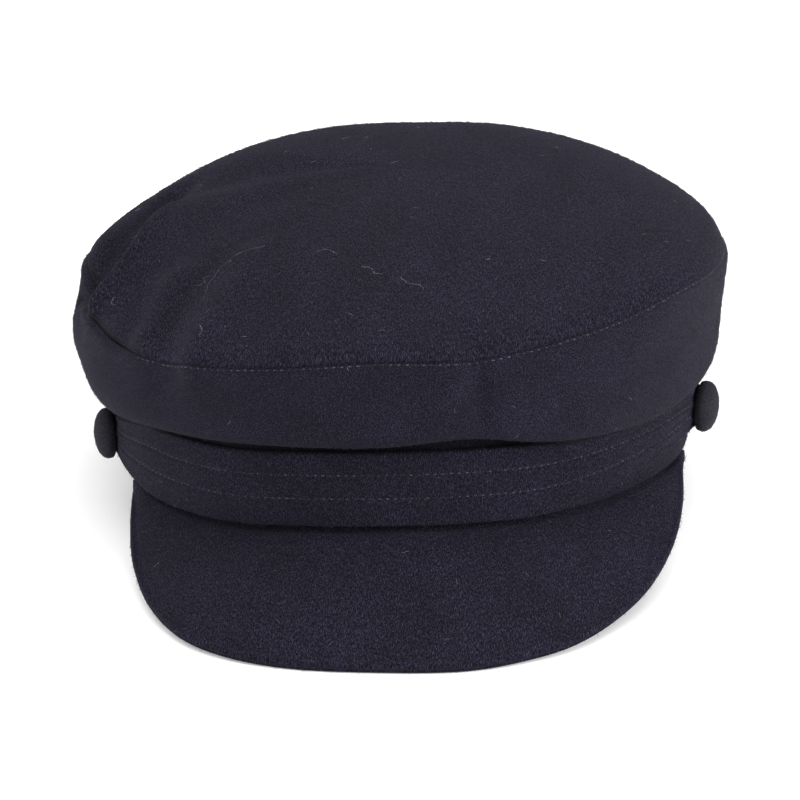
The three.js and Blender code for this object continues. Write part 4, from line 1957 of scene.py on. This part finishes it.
@dataclass
class Studio:
    """A pale floor, soft light from all sides and the camera.

    Attributes:
        eye: Place of the camera.
        aim: Point that it looks at.
        lens: Its focal length in millimetres, on a sensor 36 wide.
        surround: Strength of the even white light all round.
        floor_tone: How pale the floor is.
        floor_glow: Light that the floor gives off itself, so that no side shadow greys it.
    """

    eye: tuple[float, float, float] = (0.0850, -1.3709, 0.5981)
    aim: tuple[float, float, float] = (0.00028, 0.01433, 0.0289)
    lens: float = 212.5
    surround: float = 0.4
    floor_tone: float = 0.97
    floor_glow: float = 0.1

    # A large lamp above the cap and three at its sides
    LAMPS = (
        # name, place, length of its side, power in watts
        ("overhead", (0.0, -0.2, 1.9), 2.4, 43.0),
        ("left", (-1.5, -0.3, 1.2), 1.0, 5.0),
        ("left_low", (-1.6, -1.2, 0.6), 1.0, 28.0),
        ("right", (1.8, -0.6, 0.7), 1.0, 50.0),
    )

    def camera(self) -> None:
        """Sets up the camera at the photograph's angle."""
        data = bpy.data.cameras.new("camera")
        data.lens = self.lens
        data.sensor_width = 36.0
        data.clip_start = 0.05
        data.clip_end = 20.0
        camera = bpy.data.objects.new("camera", data)
        camera.location = self.eye
        look = Vector(self.aim) - Vector(self.eye)
        camera.rotation_euler = look.to_track_quat("-Z", "Y").to_euler()
        bpy.context.scene.collection.objects.link(camera)
        bpy.context.scene.camera = camera

    def floor(self) -> None:
        """Lays the floor."""
        sheet = bmesh.new()
        bmesh.ops.create_grid(sheet, x_segments=1, y_segments=1, size=4.0)
        data = bpy.data.meshes.new("floor")
        sheet.to_mesh(data)
        sheet.free()
        material = bpy.data.materials.new("pale_floor")
        material.use_nodes = True
        shader = material.node_tree.nodes["Principled BSDF"]
        shader.inputs["Base Color"].default_value = (*[self.floor_tone] * 3, 1.0)
        shader.inputs["Roughness"].default_value = 0.9
        shader.inputs["Specular IOR Level"].default_value = 0.1
        shader.inputs["Emission Color"].default_value = (1.0, 1.0, 1.0, 1.0)
        shader.inputs["Emission Strength"].default_value = self.floor_glow
        data.materials.append(material)
        floor = bpy.data.objects.new("floor", data)
        bpy.context.scene.collection.objects.link(floor)

    def lamp(self, name: str, place: tuple[float, float, float], size: float,
             power: float) -> None:
        """Hangs a square soft light that faces the cap.

        Args:
            name: Its name.
            place: Its place.
            size: Length of its side.
            power: Its power in watts.
        """
        data = bpy.data.lights.new(name, "AREA")
        data.shape = "SQUARE"
        data.size = size
        data.energy = power
        lamp = bpy.data.objects.new(name, data)
        lamp.location = place
        look = Vector(self.aim) - Vector(place)
        lamp.rotation_euler = look.to_track_quat("-Z", "Y").to_euler()
        bpy.context.scene.collection.objects.link(lamp)

    def light(self) -> None:
        """Lights the studio with an even white surround and the lamps."""
        scene = bpy.context.scene
        world = bpy.data.worlds.new("studio")
        world.use_nodes = True
        surround = world.node_tree.nodes["Background"]
        surround.inputs["Color"].default_value = (1.0, 1.0, 1.0, 1.0)
        surround.inputs["Strength"].default_value = self.surround
        scene.world = world
        for name, place, size, power in self.LAMPS:
            self.lamp(name, place, size, power)
        scene.view_settings.view_transform = "Standard"
        scene.view_settings.look = "None"
        scene.view_settings.exposure = 0.0
        scene.view_settings.gamma = 1.0


def main() -> None:
    """Builds the cap and its studio."""
    logging.basicConfig(level=logging.INFO, format="%(name)s: %(message)s")
    wardrobe = Wardrobe.build()
    form = CrownForm(Oval.of_frame())
    crown = Crown(form)
    strap = Strap(form)
    forwards = (-0.3, -1.0, 0.0)
    combed = [
        (crown.top_panel(wardrobe.wool), Nap(comb=forwards, unruly=80.0)),
        (crown.side_panel(wardrobe.wool), Nap(unruly=35.0)),
        (Headband(form).build(wardrobe.wool), Nap(spacing=1.8 * MM)),
        (Peak(form).build(wardrobe.wool), Nap(comb=forwards, unruly=80.0)),
        (strap.build(wardrobe.wool), Nap(unruly=35.0)),
    ]
    stray = Nap(spacing=24 * MM, shortest=1.2 * MM, longest=3.4 * MM, unruly=180.0)
    for seed, (piece, nap) in enumerate(combed, start=1):
        nap.grow(piece, wardrobe.fuzz, Slot.WOOL, seed)
        stray.grow(piece, wardrobe.lint, Slot.WOOL, seed + 20, "_lint")
    Lint(form).scatter(wardrobe.lint)
    for seed, side in enumerate(Side, start=11):
        button = Button(side, strap).build(wardrobe.button)
        Nap(longest=1.0 * MM).grow(button, wardrobe.fuzz, Slot.BUTTON, seed)

    stitching = Topstitching()

    def below_seam(angles: Array) -> Array:
        """Line of the crown's topstitching."""
        walks = form.side_line(angles)[1][:, 0]
        return form.side_point(angles, form.topstitch / walks, np.zeros_like(angles))

    threads = (wardrobe.thread, wardrobe.shadow)
    stitching.row("crown_topstitch", below_seam, *stitching.CROWN_ROW, *threads)
    for name, at in zip(("lower", "upper"), strap.rows_at):

        def along_strap(angles: Array, at: float = at) -> Array:
            """Line of one of the strap's rows of stitches."""
            height = strap.middle(angles) + (2 * at - 1) * strap.half_width(angles)
            return form.oval.place(angles, strap.face(angles, np.full_like(angles, at)), height)

        start, end = (strap.BUTTONS[side][0] for side in Side)
        stitching.row(f"strap_stitch_{name}", along_strap, start, end, *threads)

    studio = Studio()
    studio.floor()
    studio.light()
    studio.camera()


if __name__ == "__main__":
    main()
